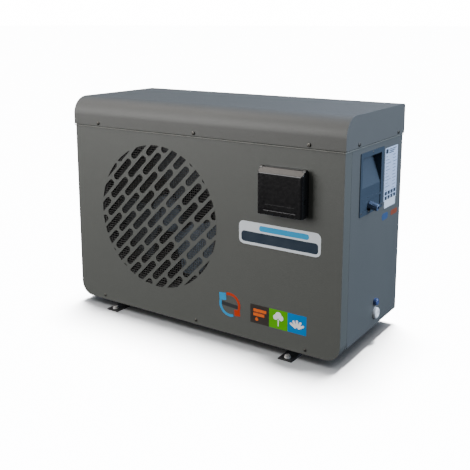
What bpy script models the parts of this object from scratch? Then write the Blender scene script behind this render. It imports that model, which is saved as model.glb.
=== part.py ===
"""Pool heat pump in a sheet-metal case, modelled piece by piece.

X runs along the front from left to right, Y from the front to the back and Z up from the floor. Inside this
file the pieces are placed from the middle of the front face (X = 0, Y = 0) and the floor (Z = 0). The empty
that carries them all moves the assembly so that its origin is the bottom centre of its bounding box.
"""

import math

import bmesh
import bpy
from mathutils import Matrix, Vector

# ---- driving dimensions, in metres ----
GAP = 0.0003  # between pieces that touch
SHEET = 0.0012  # case sheet steel

CASE_WIDTH = 0.858
CASE_DEPTH = 0.354
OVERALL_HEIGHT = 0.617
LID_HEIGHT = 0.079
LID_OVERHANG = 0.003
LID_ROLL_RADIUS = 0.050
LID_REAR_RADIUS = 0.009

FRONT_BOTTOM = 0.020  # lowest edge of the front panel
SIDE_BOTTOM = 0.045  # lowest edge of the side and rear panels
FRONT_CORNER_RADIUS = 0.040
FRONT_FLANGE = 0.036  # depth of the front panel's returned edge
REAR_FLANGE = 0.020  # width of the side panels' returned rear edge
SEAM = 0.0008  # open line between neighbouring panels
JOGGLE_IN = 0.002  # step that takes the panels in under the lid
JOGGLE_RISE = 0.004
JOGGLE_BELOW_LID = 0.008
PANEL_LAP = 0.018  # height of panel hidden inside the lid

GRILLE_RADIUS = 0.200
GRILLE_FROM_LEFT = 0.298  # grille centre from the case's left side
GRILLE_HEIGHT = 0.301
SLOT_WIDTH = 0.0192
SLOT_LENGTH = 0.085
SLOT_PITCH = 0.095  # from slot to slot along a row
SLOT_ROW_PITCH = 0.02856
SLOT_ANGLE = math.radians(45)
SLOT_ARC_STEPS = 3

AIR_SLOT_SIZE = (0.006, 0.060)  # width and height
AIR_SLOT_PITCH = (0.015, 0.072)
AIR_SLOT_MARGIN = 0.022
AIR_SLOT_ARC_STEPS = 2

GUARD_THICKNESS = 0.002
GUARD_CELL = 0.036
GUARD_WIRE = 0.004
GUARD_MARGIN = 0.008  # guard beyond the edge of the opening that it covers

SHROUD_LENGTH = 0.042
SHROUD_WALL = 0.003
SHROUD_FLANGE = 0.012
SHROUD_INSET = 0.005  # shroud bore inside the field of slots
FAN_TIP_GAP = 0.007
FAN_HUB_RADIUS = 0.055
FAN_HUB_LENGTH = 0.050
FAN_FROM_FRONT = 0.040
FAN_BLADES = 3
FAN_REST_ANGLE = math.radians(-45)  # where the first blade rests, turned from the right
BLADE_THICKNESS = 0.004
BLADE_SWEEP = math.radians(78)  # arc that one blade covers
BLADE_PITCH = 0.034  # advance along the axis from leading to trailing edge
SHAFT_RADIUS = 0.006
SHAFT_LENGTH = 0.112
MOTOR_RADIUS = 0.048
MOTOR_LENGTH = 0.080
MOTOR_BOSS_RADIUS = 0.020
MOTOR_BOSS_LENGTH = 0.010
MOTOR_BEHIND_FAN = 0.006
BRACKET_WIDTH = 0.090
BRACKET_SHEET = 0.002
BRACKET_FOOT = 0.025

BASE_RISE = 0.002  # base pan above the side panels' lower edge
BASE_RIM = 0.015
BASE_SIDE_CLEARANCE = 0.0012
PARTITION_FROM_SHROUD = 0.017
PARTITION_FLANGE = 0.012
PARTITION_END_CLEARANCE = 0.0035

COIL_THICKNESS = 0.025
COIL_FROM_REAR = 0.007
COIL_TO_HANDLE = 0.007  # from the left carry handle's inner side
COIL_CORNER_RADIUS = 0.055
COIL_TO_PARTITION = 0.006
COIL_FRONT_END = 0.046
COIL_TOP_CLEARANCE = 0.012  # below the upper edge of the panels
REAR_OPENING_EDGE = 0.044  # from the case's left side and the partition to the rear opening
REAR_OPENING_BORDER = 0.030  # above and below it
REAR_BAR_CELL = (0.026, 0.140)
REAR_BAR_WIRE = 0.005

FOOT_SPACING = 0.579
FOOT_WIDTH = 0.040
FOOT_REACH = 0.022  # tab in front of the front panel and behind the rear panel
FOOT_SHEET = 0.003
FOOT_WEB_INSET = 0.006  # web clear of the front panel's returned edge
FOOT_BOLT_REACH = 0.006  # bolt centre in front of the front face
FOOT_HOLE_RADIUS = 0.0045
BOLT_WASHER_RADIUS = 0.0085
BOLT_WASHER_HEIGHT = 0.0016
BOLT_HEAD_RADIUS = 0.0075
BOLT_HEAD_HEIGHT = 0.0053

SCREW_HEAD_RADIUS = 0.0052
SCREW_HEAD_HEIGHT = 0.0028
SCREW_SHANK_RADIUS = 0.0019
SCREW_HOLE_CLEARANCE = 0.0005
SCREW_ABOVE_EDGE = 0.008
SCREW_END = 0.003  # shank beyond the inner sheet
LID_SCREW_SPACING = 0.337
SIDE_SCREW_PLACES = (0.067, 0.312)

CONTROL_WIDTH = 0.125
CONTROL_HEIGHT = 0.116
CONTROL_FROM_RIGHT = 0.092
CONTROL_BELOW_LID = 0.052
CONTROL_DEPTH = 0.032
HOUSING_DEPTH = 0.010
COVER_WALL = 0.0025
COVER_CORNER_RADIUS = 0.008
COVER_BEVEL_HEIGHT = 0.0165
COVER_KNUCKLE = 0.0032  # hinge axis behind the cover's rear edge and below its top
COVER_LIP = 0.002  # chamfer of its lower front edge
COVER_ROOF_REACH = 0.009  # flat part of the hollow's roof in front of the hinge
HINGE_PIN_RADIUS = 0.0012
EAR_WIDTH = 0.007
EAR_RADIUS = 0.0055
EAR_CLEARANCE = 0.0009
HOUSING_WALL = 0.004
DISPLAY_SIZE = (0.074, 0.040)
DISPLAY_THICKNESS = 0.0025
DISPLAY_PLACE = 0.62  # height of its middle as a share of the housing
KEY_RADIUS = 0.0055
KEY_LENGTH = 0.007
KEY_STANDOUT = 0.0022
KEY_CLEARANCE = 0.0004
KEY_PITCH = 0.022
KEY_COUNT = 4
KEY_BELOW_DISPLAY = 0.021
BOARD_THICKNESS = 0.0016

HANDLE_WIDTH = 0.142
HANDLE_HEIGHT = 0.157
HANDLE_FROM_FRONT = 0.084
HANDLE_BELOW_LID = 0.0175
HANDLE_FLANGE = 0.0085
HANDLE_FLANGE_STEP = 0.0025
HANDLE_PROUD = 0.002
HANDLE_WALL = 0.003
HANDLE_REAR_LAND = 0.0165
HANDLE_ROOF = 0.001  # extra wall above the pocket
POCKET_DEPTH = 0.002
POCKET_HOLD_DEPTH = 0.027
POCKET_SLOPE_LOW = 0.076  # foot of the sloped finger rest, below the pocket's top
POCKET_RIDGE_LOW = 0.105  # middle of the cross ridge, below the pocket's top
POCKET_RIDGE_HALF = 0.0035
POCKET_RIDGE_HEIGHT = 0.0015
POCKET_ROOF = 0.004  # height of the pocket's deepest part

GLAND_FROM_FRONT = 0.144
GLAND_ABOVE_POCKET = 0.010
GLAND_BOSS_RADIUS = 0.013
GLAND_BOSS_LENGTH = 0.004
GLAND_BODY_RADIUS = 0.0105
GLAND_BODY_LENGTH = 0.007
GLAND_NUT_RADIUS = 0.0095
GLAND_NUT_LENGTH = 0.015
GLAND_BORE_RADIUS = 0.005

PORT_CAP_PLACE = (0.203, 0.113)  # from the front face and from the floor
PORT_CAP_RADIUS = 0.0095
PORT_CAP_LENGTH = 0.010
DRAIN_CAP_PLACE = (0.207, 0.081)
DRAIN_CAP_RADIUS = 0.015
DRAIN_CAP_LENGTH = 0.009
CAP_STEM = 0.006  # stem through the side panel

COMPRESSOR_FROM_RIGHT = 0.089
COMPRESSOR_FROM_FRONT = 0.150
COMPRESSOR_RADIUS = 0.059
COMPRESSOR_HEIGHT = 0.262
COMPRESSOR_FOOT_RADIUS = 0.072
COMPRESSOR_FOOT_SHEET = 0.003
FOOT_CORNER_ARC = 24  # degrees of each rounded corner of the foot plate
GROMMET_RADIUS = 0.012
GROMMET_HEIGHT = 0.015
ACCUMULATOR_RADIUS = 0.026
ACCUMULATOR_HEIGHT = 0.140
ACCUMULATOR_BASE = 0.060  # above the base pan
ACCUMULATOR_ANGLE = math.radians(221)
ACCUMULATOR_CLEARANCE = 0.004

EXCHANGER_FROM_PARTITION = 0.104
EXCHANGER_FROM_REAR = 0.114
EXCHANGER_RADIUS = 0.062
EXCHANGER_WALL = 0.004
EXCHANGER_HEIGHT = 0.388
TITANIUM_TUBE_RADIUS = 0.006
TITANIUM_COIL_RADIUS = 0.038
TITANIUM_TURNS = 8
TITANIUM_PITCH = 0.036
TITANIUM_STEPS = 12

WATER_PIPE_RADIUS = 0.025
WATER_BORE_RADIUS = 0.021
WATER_INLET_ABOVE_BASE = 0.062
WATER_OUTLET_BELOW_TOP = 0.052  # below the exchanger's top
WATER_PIPE_REACH = 0.045  # beyond the rear panel
WATER_PIPE_CLEARANCE = 0.002
UNION_THREAD_RADIUS = 0.030
UNION_THREAD_LENGTH = 0.027
UNION_NUT_RADIUS = 0.038
UNION_NUT_LENGTH = 0.022
UNION_NUT_SETBACK = 0.004
UNION_RIBS = 12
UNION_RIB_HEIGHT = 0.002
FLOW_SWITCH_SIZE = (0.030, 0.030, 0.024)
FLOW_SWITCH_FROM_REAR = 0.027
PADDLE_SIZE = (0.018, 0.001, 0.027)
PADDLE_AXIS_HEIGHT = 0.016  # above the pipe's axis
PADDLE_ABOVE_AXIS = 0.002

BOX_LEFT = 0.016  # electrical box from the partition
BOX_TO_HANDLE = 0.009  # and from the right carry handle's inner side
BOX_FRONT = 0.008
BOX_DEPTH = 0.120
BOX_HEIGHT = 0.090
BOX_BELOW_LID = 0.008
BOARD_SIZE = (0.150, 0.090)
BOARD_STANDOFF = 0.008
BOARD_INSET = 0.015  # from the box's walls
TERMINAL_SIZE = (0.070, 0.028, 0.024)

VALVE_RADIUS = 0.013
VALVE_LENGTH = 0.090
VALVE_FROM_RIGHT = 0.099
VALVE_FROM_REAR = 0.099
VALVE_ABOVE_COMPRESSOR = 0.070
VALVE_STUB_RADIUS = 0.0055
VALVE_STUB_LENGTH = 0.012
VALVE_STUB_PITCH = 0.025
PIPE_RADIUS = 0.006
LIQUID_PIPE_RADIUS = 0.005
PIPE_BEND = 0.018
PIPE_BEND_STEPS = 3
PIPE_HOLE_CLEARANCE = 0.002
DISCHARGE_RISE = 0.030  # crest of the discharge pipe above the valve's stub
RISER_FROM_EXCHANGER = 0.017
GAS_PIPE_DROP = 0.022  # below the valve's stub
GAS_PIPE_RISE = 0.030  # above the exchanger's top
GAS_PORT_OFFSET = 0.025  # from the exchanger's axis
LIQUID_PORT_OFFSET = 0.020
LIQUID_PIPE_RISE = 0.022
LIQUID_PIPE_FROM_PARTITION = 0.024

ROUND_STEPS = 24
SMALL_STEPS = 12
CUT_PAST = 0.010  # how far a cutter reaches beyond the wall that it opens

# ---- places that follow from them ----
HALF_WIDTH = CASE_WIDTH / 2
LID_EDGE = OVERALL_HEIGHT - LID_HEIGHT
JOGGLE_START = LID_EDGE - JOGGLE_BELOW_LID
PANEL_TOP = LID_EDGE + PANEL_LAP
SCREW_HEIGHT = LID_EDGE + SCREW_ABOVE_EDGE
BASE_BOTTOM = SIDE_BOTTOM + BASE_RISE
BASE_TOP = BASE_BOTTOM + SHEET
FAN_X = GRILLE_FROM_LEFT - HALF_WIDTH
SHROUD_RADIUS = GRILLE_RADIUS - SHROUD_INSET
FAN_RADIUS = SHROUD_RADIUS - FAN_TIP_GAP
PARTITION_X = FAN_X + SHROUD_RADIUS + SHROUD_WALL + SHROUD_FLANGE + PARTITION_FROM_SHROUD
GUARD_FRONT = SHEET + GAP
SHROUD_FRONT = GUARD_FRONT + GUARD_THICKNESS + GAP
MOTOR_FRONT = FAN_FROM_FRONT + FAN_HUB_LENGTH + MOTOR_BEHIND_FAN
MOTOR_REAR = MOTOR_FRONT + MOTOR_BOSS_LENGTH + MOTOR_LENGTH
REAR_INNER = CASE_DEPTH - SHEET

CONTROL_LEFT = HALF_WIDTH - CONTROL_FROM_RIGHT - CONTROL_WIDTH
CONTROL_RIGHT = CONTROL_LEFT + CONTROL_WIDTH
CONTROL_TOP = LID_EDGE - CONTROL_BELOW_LID
CONTROL_BOTTOM = CONTROL_TOP - CONTROL_HEIGHT
COVER_REAR = -(HOUSING_DEPTH + GAP)
HINGE_Y = COVER_REAR - COVER_KNUCKLE
HINGE_Z = CONTROL_TOP - GAP - COVER_KNUCKLE
CONTROL_MIDDLE = (CONTROL_LEFT + CONTROL_RIGHT) / 2
DISPLAY_Z = CONTROL_BOTTOM + DISPLAY_PLACE * CONTROL_HEIGHT
KEY_Z = DISPLAY_Z - DISPLAY_SIZE[1] / 2 - KEY_BELOW_DISPLAY
KEY_NAMES = ("power_key", "mode_key", "down_key", "up_key")

HANDLE_TOP = LID_EDGE - HANDLE_BELOW_LID
HANDLE_BOTTOM = HANDLE_TOP - HANDLE_HEIGHT
HANDLE_REAR = HANDLE_FROM_FRONT + HANDLE_WIDTH
POCKET_FRONT = HANDLE_FROM_FRONT + HANDLE_FLANGE + HANDLE_WALL
POCKET_REAR = HANDLE_REAR - HANDLE_REAR_LAND
POCKET_TOP = HANDLE_TOP - HANDLE_FLANGE - HANDLE_WALL - HANDLE_ROOF
HANDLE_DEPTH = POCKET_HOLD_DEPTH + HANDLE_WALL
HANDLE_INNER = HALF_WIDTH + HANDLE_PROUD - HANDLE_DEPTH  # its inner side, from the middle of the case
POCKET_BOTTOM = HANDLE_BOTTOM + HANDLE_FLANGE + HANDLE_WALL
GLAND_Z = POCKET_BOTTOM + GLAND_ABOVE_POCKET
GLAND_ROOT = HANDLE_PROUD - POCKET_DEPTH + GLAND_BOSS_LENGTH + GAP
GLAND_NUT_ROOT = GLAND_ROOT + GLAND_BODY_LENGTH + GAP
GLAND_TIP = GLAND_NUT_ROOT + GLAND_NUT_LENGTH

COMPRESSOR_X = HALF_WIDTH - COMPRESSOR_FROM_RIGHT
COMPRESSOR_FOOT = BASE_TOP + GAP + GROMMET_HEIGHT + GAP
COMPRESSOR_TOP = COMPRESSOR_FOOT + COMPRESSOR_HEIGHT
ACCUMULATOR_REACH = COMPRESSOR_RADIUS + ACCUMULATOR_RADIUS + ACCUMULATOR_CLEARANCE
ACCUMULATOR_X = COMPRESSOR_X + ACCUMULATOR_REACH * math.cos(ACCUMULATOR_ANGLE)
ACCUMULATOR_Y = COMPRESSOR_FROM_FRONT + ACCUMULATOR_REACH * math.sin(ACCUMULATOR_ANGLE)
ACCUMULATOR_BOTTOM = BASE_TOP + ACCUMULATOR_BASE
ACCUMULATOR_TOP = ACCUMULATOR_BOTTOM + ACCUMULATOR_HEIGHT

EXCHANGER_X = PARTITION_X + EXCHANGER_FROM_PARTITION
EXCHANGER_Y = CASE_DEPTH - EXCHANGER_FROM_REAR
EXCHANGER_BOTTOM = BASE_TOP + GAP
EXCHANGER_TOP = EXCHANGER_BOTTOM + EXCHANGER_HEIGHT
INLET_Z = BASE_TOP + WATER_INLET_ABOVE_BASE
OUTLET_Z = EXCHANGER_TOP - WATER_OUTLET_BELOW_TOP
WATER_END = CASE_DEPTH + WATER_PIPE_REACH
NUT_REAR = WATER_END - UNION_NUT_SETBACK

VALVE_X = HALF_WIDTH - VALVE_FROM_RIGHT
VALVE_Y = CASE_DEPTH - VALVE_FROM_REAR
VALVE_Z = COMPRESSOR_TOP + VALVE_ABOVE_COMPRESSOR
PIPE_START = VALVE_RADIUS + VALVE_STUB_LENGTH + GAP  # from the valve's axis to the end of a pipe
GAS_PIPE_Y = CASE_DEPTH - 0.024
GAS_PIPE_Z = VALVE_Z - 0.060
LIQUID_PIPE_Y = CASE_DEPTH - 0.019
LIQUID_PIPE_Z = BASE_TOP + 0.100

# The bounding box reaches from the lid's left side to the cable gland, and from the cover to the unions.
ORIGIN_X = (GLAND_TIP - LID_OVERHANG) / 2
ORIGIN_Y = (WATER_END - CONTROL_DEPTH) / 2


# ---- helpers ----
def clear_scene():
    for item in list(bpy.data.objects):
        bpy.data.objects.remove(item, do_unlink=True)


def material(name, colour, roughness, metallic=0.0):
    """A Principled material from an sRGB hex colour."""
    made = bpy.data.materials.new(name)
    made.use_nodes = True
    shader = made.node_tree.nodes["Principled BSDF"]
    parts = [int(colour[i : i + 2], 16) / 255 for i in (1, 3, 5)]
    linear = [c / 12.92 if c <= 0.04045 else ((c + 0.055) / 1.055) ** 2.4 for c in parts]
    shader.inputs["Base Color"].default_value = (*linear, 1.0)
    shader.inputs["Roughness"].default_value = roughness
    shader.inputs["Metallic"].default_value = metallic
    return made


def add_object(name, data, finish, location=(0, 0, 0)):
    made = bpy.data.objects.new(name, data)
    bpy.context.scene.collection.objects.link(made)
    made.parent = ASSEMBLY
    made.location = location
    if finish is not None:
        data.materials.append(finish)
    return made


def finish_mesh(name, shape, finish, location=(0, 0, 0), smooth=False):
    """Turns a closed bmesh into a named object with its faces pointing out."""
    bmesh.ops.remove_doubles(shape, verts=shape.verts, dist=1e-7)
    bmesh.ops.recalc_face_normals(shape, faces=shape.faces)
    mesh = bpy.data.meshes.new(name)
    shape.to_mesh(mesh)
    shape.free()
    if smooth:
        mesh.shade_smooth()
        mesh.set_sharp_from_angle(angle=math.radians(35))
    return add_object(name, mesh, finish, location)


def hide_helper(item):
    item.hide_render = True
    item.display_type = "WIRE"


def boolean(target, tool, operation="DIFFERENCE"):
    step = target.modifiers.new(tool.name, "BOOLEAN")
    step.operation = operation
    step.solver = "EXACT"
    step.object = tool
    hide_helper(tool)


def box_shape(shape, low, high):
    """Adds a closed box to a bmesh."""
    size = Vector(high) - Vector(low)
    centre = (Vector(high) + Vector(low)) / 2
    bmesh.ops.create_cube(shape, size=1.0, matrix=Matrix.Translation(centre) @ Matrix.Diagonal((*size, 1.0)))


def box(name, low, high, finish=None, location=(0, 0, 0)):
    shape = bmesh.new()
    box_shape(shape, low, high)
    return finish_mesh(name, shape, finish, location)


def prism_shape(shape, outline, start, end, point):
    """Adds the solid between two copies of an outline; point(a, b, along) places one corner."""
    near = [shape.verts.new(point(a, b, start)) for a, b in outline]
    far = [shape.verts.new(point(a, b, end)) for a, b in outline]
    shape.faces.new(near)
    shape.faces.new(list(reversed(far)))
    for i in range(len(outline)):
        j = (i + 1) % len(outline)
        shape.faces.new((near[j], near[i], far[i], far[j]))


def along_x(a, b, along):
    return (along, a, b)


def along_y(a, b, along):
    return (a, along, b)


def along_z(a, b, along):
    return (a, b, along)


def prism(name, outline, start, end, point, finish=None, location=(0, 0, 0), smooth=False):
    shape = bmesh.new()
    prism_shape(shape, outline, start, end, point)
    return finish_mesh(name, shape, finish, location, smooth)


def turn_shape(shape, profile, closed, steps, point):
    """Spins a profile of (radius, along) points; a closed one makes a ring, an open one ends on the axis."""
    part = bmesh.new()
    verts = [part.verts.new((radius, 0, along)) for radius, along in profile]
    edges = [part.edges.new(pair) for pair in zip(verts, verts[1:])]
    if closed:
        edges.append(part.edges.new((verts[-1], verts[0])))
    bmesh.ops.spin(
        part, geom=verts + edges, cent=(0, 0, 0), axis=(0, 0, 1), dvec=(0, 0, 0), angle=2 * math.pi,
        steps=steps, use_merge=True, use_duplicate=False,
    )
    bmesh.ops.remove_doubles(part, verts=part.verts, dist=1e-7)
    for vert in part.verts:
        vert.co = Vector(point(vert.co.x, vert.co.y, vert.co.z))
    bmesh.ops.recalc_face_normals(part, faces=part.faces)
    scratch = bpy.data.meshes.new("scratch")
    part.to_mesh(scratch)
    part.free()
    shape.from_mesh(scratch)
    bpy.data.meshes.remove(scratch)


def turned(name, profile, point, finish=None, location=(0, 0, 0), closed=False, steps=ROUND_STEPS):
    shape = bmesh.new()
    turn_shape(shape, profile, closed, steps, point)
    return finish_mesh(name, shape, finish, location, smooth=True)


def cylinder_profile(radius, start, end):
    return [(0, start), (radius, start), (radius, end), (0, end)]


def cylinder(name, radius, start, end, point, location, finish=None, steps=ROUND_STEPS):
    return turned(name, cylinder_profile(radius, start, end), point, finish, location, steps=steps)


def small_hole(name, radius, point, location, reach=CUT_PAST):
    """Cutter for a small round hole through a wall at the location."""
    return cylinder(name, radius, -reach, reach, point, location, steps=SMALL_STEPS)


def sheet(name, points, faces, outward, finish, thickness=SHEET):
    """Folded sheet: a surface on its outer side, thickened inwards. outward is the first face's direction."""
    shape = bmesh.new()
    verts = [shape.verts.new(p) for p in points]
    made = [shape.faces.new([verts[i] for i in face]) for face in faces]
    bmesh.ops.recalc_face_normals(shape, faces=shape.faces)
    made[0].normal_update()
    if made[0].normal.dot(Vector(outward)) < 0:
        bmesh.ops.reverse_faces(shape, faces=shape.faces)
    mesh = bpy.data.meshes.new(name)
    shape.to_mesh(mesh)
    shape.free()
    item = add_object(name, mesh, finish)
    wall = item.modifiers.new("Wall", "SOLIDIFY")
    wall.solidify_mode = "NON_MANIFOLD"
    wall.nonmanifold_thickness_mode = "CONSTRAINTS"
    wall.thickness = thickness
    wall.offset = -1
    return item


def arc(centre, radius, start, end, steps):
    """Points on an arc between two angles in degrees, ends included."""
    angles = [math.radians(start + (end - start) * i / steps) for i in range(steps + 1)]
    return [(centre[0] + radius * math.cos(a), centre[1] + radius * math.sin(a)) for a in angles]


def rounded_rectangle(left, bottom, right, top, radius, steps=3):
    corners = (
        ((right - radius, top - radius), 0),
        ((left + radius, top - radius), 90),
        ((left + radius, bottom + radius), 180),
        ((right - radius, bottom + radius), 270),
    )
    return [p for centre, start in corners for p in arc(centre, radius, start, start + 90, steps)]


def bent_tube(name, corners, radius, finish):
    """A tube through the corners, each one rounded to the pipe bend."""
    route = [Vector(corners[0])]
    for before, corner, after in zip(corners, corners[1:], corners[2:]):
        corner = Vector(corner)
        back = (Vector(before) - corner)
        ahead = (Vector(after) - corner)
        reach = min(PIPE_BEND, 0.45 * back.length, 0.45 * ahead.length)
        first = corner + back.normalized() * reach
        last = corner + ahead.normalized() * reach
        for i in range(PIPE_BEND_STEPS + 1):
            t = i / PIPE_BEND_STEPS
            route.append(first * (1 - t) ** 2 + corner * 2 * t * (1 - t) + last * t**2)
    route.append(Vector(corners[-1]))
    return tube(name, route, radius, finish, resolution=2)


def tube(name, route, radius, finish, resolution):
    curve = bpy.data.curves.new(name, "CURVE")
    curve.dimensions = "3D"
    curve.bevel_depth = radius
    curve.bevel_resolution = resolution
    curve.use_fill_caps = True
    line = curve.splines.new("POLY")
    line.points.add(len(route) - 1)
    for point, place in zip(line.points, route):
        point.co = (*place, 1.0)
    return add_object(name, curve, finish)


# ---- case ----
def panel_outline():
    """The front panel's outline from its upper left corner, round the bottom, to its upper right corner."""
    low = FRONT_BOTTOM + FRONT_CORNER_RADIUS
    inner = HALF_WIDTH - FRONT_CORNER_RADIUS
    left = arc((-inner, low), FRONT_CORNER_RADIUS, 180, 270, 5)
    right = arc((inner, low), FRONT_CORNER_RADIUS, 270, 360, 5)
    return [(-HALF_WIDTH, JOGGLE_START), *left, *right, (HALF_WIDTH, JOGGLE_START)]


def joggle(corners, inward):
    """Three levels of points that step a panel's upper edge in under the lid."""
    rise = JOGGLE_START + JOGGLE_RISE
    moved = [(x + dx, y + dy) for (x, y), (dx, dy) in zip(corners, inward)]
    return [(x, y, rise) for x, y in moved] + [(x, y, PANEL_TOP) for x, y in moved]


def slot_centres():
    """Centres of the slanted slots near the grille's circle, in staggered rows."""
    along = Vector((math.cos(SLOT_ANGLE), math.sin(SLOT_ANGLE)))
    across = Vector((math.sin(SLOT_ANGLE), -math.cos(SLOT_ANGLE)))
    reach = GRILLE_RADIUS + SLOT_LENGTH
    rows = int(reach / SLOT_ROW_PITCH)
    for row in range(-rows, rows + 1):
        shift = SLOT_PITCH / 2 if row % 2 else 0.0
        count = int(reach / SLOT_PITCH) + 1
        for step in range(-count, count + 1):
            yield along * (step * SLOT_PITCH + shift) + across * (row * SLOT_ROW_PITCH)


def slot_outline(centre, length, width, slant, steps):
    """A round-ended slot around its centre; slant is the angle of its length in degrees."""
    lean = math.radians(slant)
    ahead = Vector((math.cos(lean), math.sin(lean))) * (length - width) / 2
    near, far = centre - ahead, centre + ahead
    ahead_end = arc(far, width / 2, slant - 90, slant + 90, steps)
    return ahead_end + arc(near, width / 2, slant + 90, slant + 270, steps)


def grille_cutter():
    """The slots that lie in the grille's circle, clipped by it."""
    shape = bmesh.new()
    deep = SHEET * 4
    for centre in slot_centres():
        outline = slot_outline(centre, SLOT_LENGTH, SLOT_WIDTH, math.degrees(SLOT_ANGLE), SLOT_ARC_STEPS)
        if min(math.hypot(a, b) for a, b in outline) < GRILLE_RADIUS - 0.001:
            prism_shape(shape, outline, -deep, deep, along_y)
    place = (FAN_X, 0, GRILLE_HEIGHT)
    slots = finish_mesh("slot_cutter", shape, None, place)
    rim = cylinder("grille_circle", GRILLE_RADIUS, -deep / 2, deep / 2, along_axis_y, place, steps=48)
    boolean(slots, rim, "INTERSECT")
    return slots


def along_axis_y(a, b, along):
    """For turned pieces: the axis runs along Y."""
    return (a, along, -b)


def along_axis_x(a, b, along):
    """For turned pieces: the axis runs along X."""
    return (along, a, b)


def front_panel(lid_holes):
    outline = panel_outline()
    count = len(outline)
    face = [(x, 0, z) for x, z in outline]
    flange = [(x, FRONT_FLANGE, z) for x, z in outline]
    corners = [(-HALF_WIDTH, FRONT_FLANGE), (-HALF_WIDTH, 0), (HALF_WIDTH, 0), (HALF_WIDTH, FRONT_FLANGE)]
    inward = [(JOGGLE_IN, 0), (JOGGLE_IN, JOGGLE_IN), (-JOGGLE_IN, JOGGLE_IN), (-JOGGLE_IN, 0)]
    points = face + flange + joggle(corners, inward)
    faces = [list(range(count))]
    faces += [(i, i + 1, count + i + 1, count + i) for i in range(count - 1)]
    edge = [count, 0, count - 1, 2 * count - 1]
    low, high = 2 * count, 2 * count + 4
    for i in range(3):
        faces.append((edge[i], edge[i + 1], low + i + 1, low + i))
        faces.append((low + i, low + i + 1, high + i + 1, high + i))
    item = sheet("front_panel", points, faces, (0, -1, 0), CASE_PAINT)
    boolean(item, grille_cutter())
    boolean(item, lid_holes)
    return item


def side_panel(name, side, holes):
    """side is 1 for the right and -1 for the left."""
    x = side * HALF_WIDTH
    front = FRONT_FLANGE + SEAM
    turned_in = x - side * REAR_FLANGE
    face = [(x, front, SIDE_BOTTOM), (x, CASE_DEPTH, SIDE_BOTTOM), (turned_in, CASE_DEPTH, SIDE_BOTTOM)]
    upper = [(px, py, JOGGLE_START) for px, py, _ in face]
    inward = [(-side * JOGGLE_IN, 0), (-side * JOGGLE_IN, -JOGGLE_IN), (0, -JOGGLE_IN)]
    points = face + upper + joggle([(px, py) for px, py, _ in face], inward)
    faces = [(row + i, row + i + 1, row + i + 4, row + i + 3) for row in (0, 3, 6) for i in (0, 1)]
    item = sheet(name, points, faces, (side, 0, 0), CASE_PAINT)
    for hole in holes:
        boolean(item, hole)
    return item


def air_slot_cutter():
    """Upright slots in the left side panel, below its carry handle, for the evaporator's short leg."""
    low = (FRONT_FLANGE + AIR_SLOT_MARGIN, SIDE_BOTTOM + AIR_SLOT_MARGIN)
    high = (CASE_DEPTH - REAR_FLANGE - AIR_SLOT_MARGIN, HANDLE_BOTTOM - AIR_SLOT_MARGIN)
    counts = [1 + int((high[k] - low[k] - size) / AIR_SLOT_PITCH[k]) for k, size in enumerate(AIR_SLOT_SIZE)]
    middle = [(low[k] + high[k]) / 2 for k in (0, 1)]
    shape = bmesh.new()
    for i in range(counts[0]):
        for j in range(counts[1]):
            y = middle[0] + (i - (counts[0] - 1) / 2) * AIR_SLOT_PITCH[0]
            z = middle[1] + (j - (counts[1] - 1) / 2) * AIR_SLOT_PITCH[1]
            outline = slot_outline(Vector((y, z)), AIR_SLOT_SIZE[1], AIR_SLOT_SIZE[0], 90, AIR_SLOT_ARC_STEPS)
            prism_shape(shape, outline, -HALF_WIDTH - 0.005, -HALF_WIDTH + 0.005, along_x)
    return finish_mesh("air_slot_cutter", shape, None)


def rear_panel():
    left = -HALF_WIDTH + REAR_FLANGE + SEAM
    right = -left
    xs = (left, right)
    points = [(x, CASE_DEPTH, z) for z in (SIDE_BOTTOM, JOGGLE_START) for x in xs]
    points += joggle([(left, CASE_DEPTH), (right, CASE_DEPTH)], [(0, -JOGGLE_IN)] * 2)
    faces = [(0, 1, 3, 2), (2, 3, 5, 4), (4, 5, 7, 6)]
    item = sheet("rear_panel", points, faces, (0, 1, 0), CASE_PAINT)
    low, high = rear_opening()
    near, far = CASE_DEPTH - CUT_PAST, CASE_DEPTH + CUT_PAST
    boolean(item, box("rear_opening_cutter", (low[0], near, low[1]), (high[0], far, high[1])))
    for label, z in (("inlet", INLET_Z), ("outlet", OUTLET_Z)):
        radius = WATER_PIPE_RADIUS + WATER_PIPE_CLEARANCE
        place = (EXCHANGER_X, CASE_DEPTH, z)
        boolean(item, cylinder(f"{label}_hole_cutter", radius, -CUT_PAST, CUT_PAST, along_axis_y, place))
    return item


def rear_opening():
    """Lower left and upper right corners, as X and Z, of the opening over the evaporator."""
    low = (-HALF_WIDTH + REAR_OPENING_EDGE, SIDE_BOTTOM + REAR_OPENING_BORDER)
    high = (PARTITION_X - COIL_TO_PARTITION, JOGGLE_START - REAR_OPENING_BORDER)
    return low, high


def lid(lid_holes):
    front, rear = -LID_OVERHANG, CASE_DEPTH + LID_OVERHANG
    half = HALF_WIDTH + LID_OVERHANG

    def profile(inset, low):
        roll_centre = (front + LID_ROLL_RADIUS, OVERALL_HEIGHT - LID_ROLL_RADIUS)
        back_centre = (rear - LID_REAR_RADIUS, OVERALL_HEIGHT - LID_REAR_RADIUS)
        roll = arc(roll_centre, LID_ROLL_RADIUS - inset, 180, 90, 7)
        back = arc(back_centre, LID_REAR_RADIUS - inset, 90, 0, 3)
        return [(front + inset, low), *roll, *back, (rear - inset, low)]

    item = prism("lid", profile(0, LID_EDGE), -half, half, along_x, LID_PAINT, smooth=True)
    hollow = prism("lid_hollow", profile(SHEET, LID_EDGE - CUT_PAST), -half + SHEET, half - SHEET, along_x)
    boolean(item, hollow)
    boolean(item, lid_holes)
    return item


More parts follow.
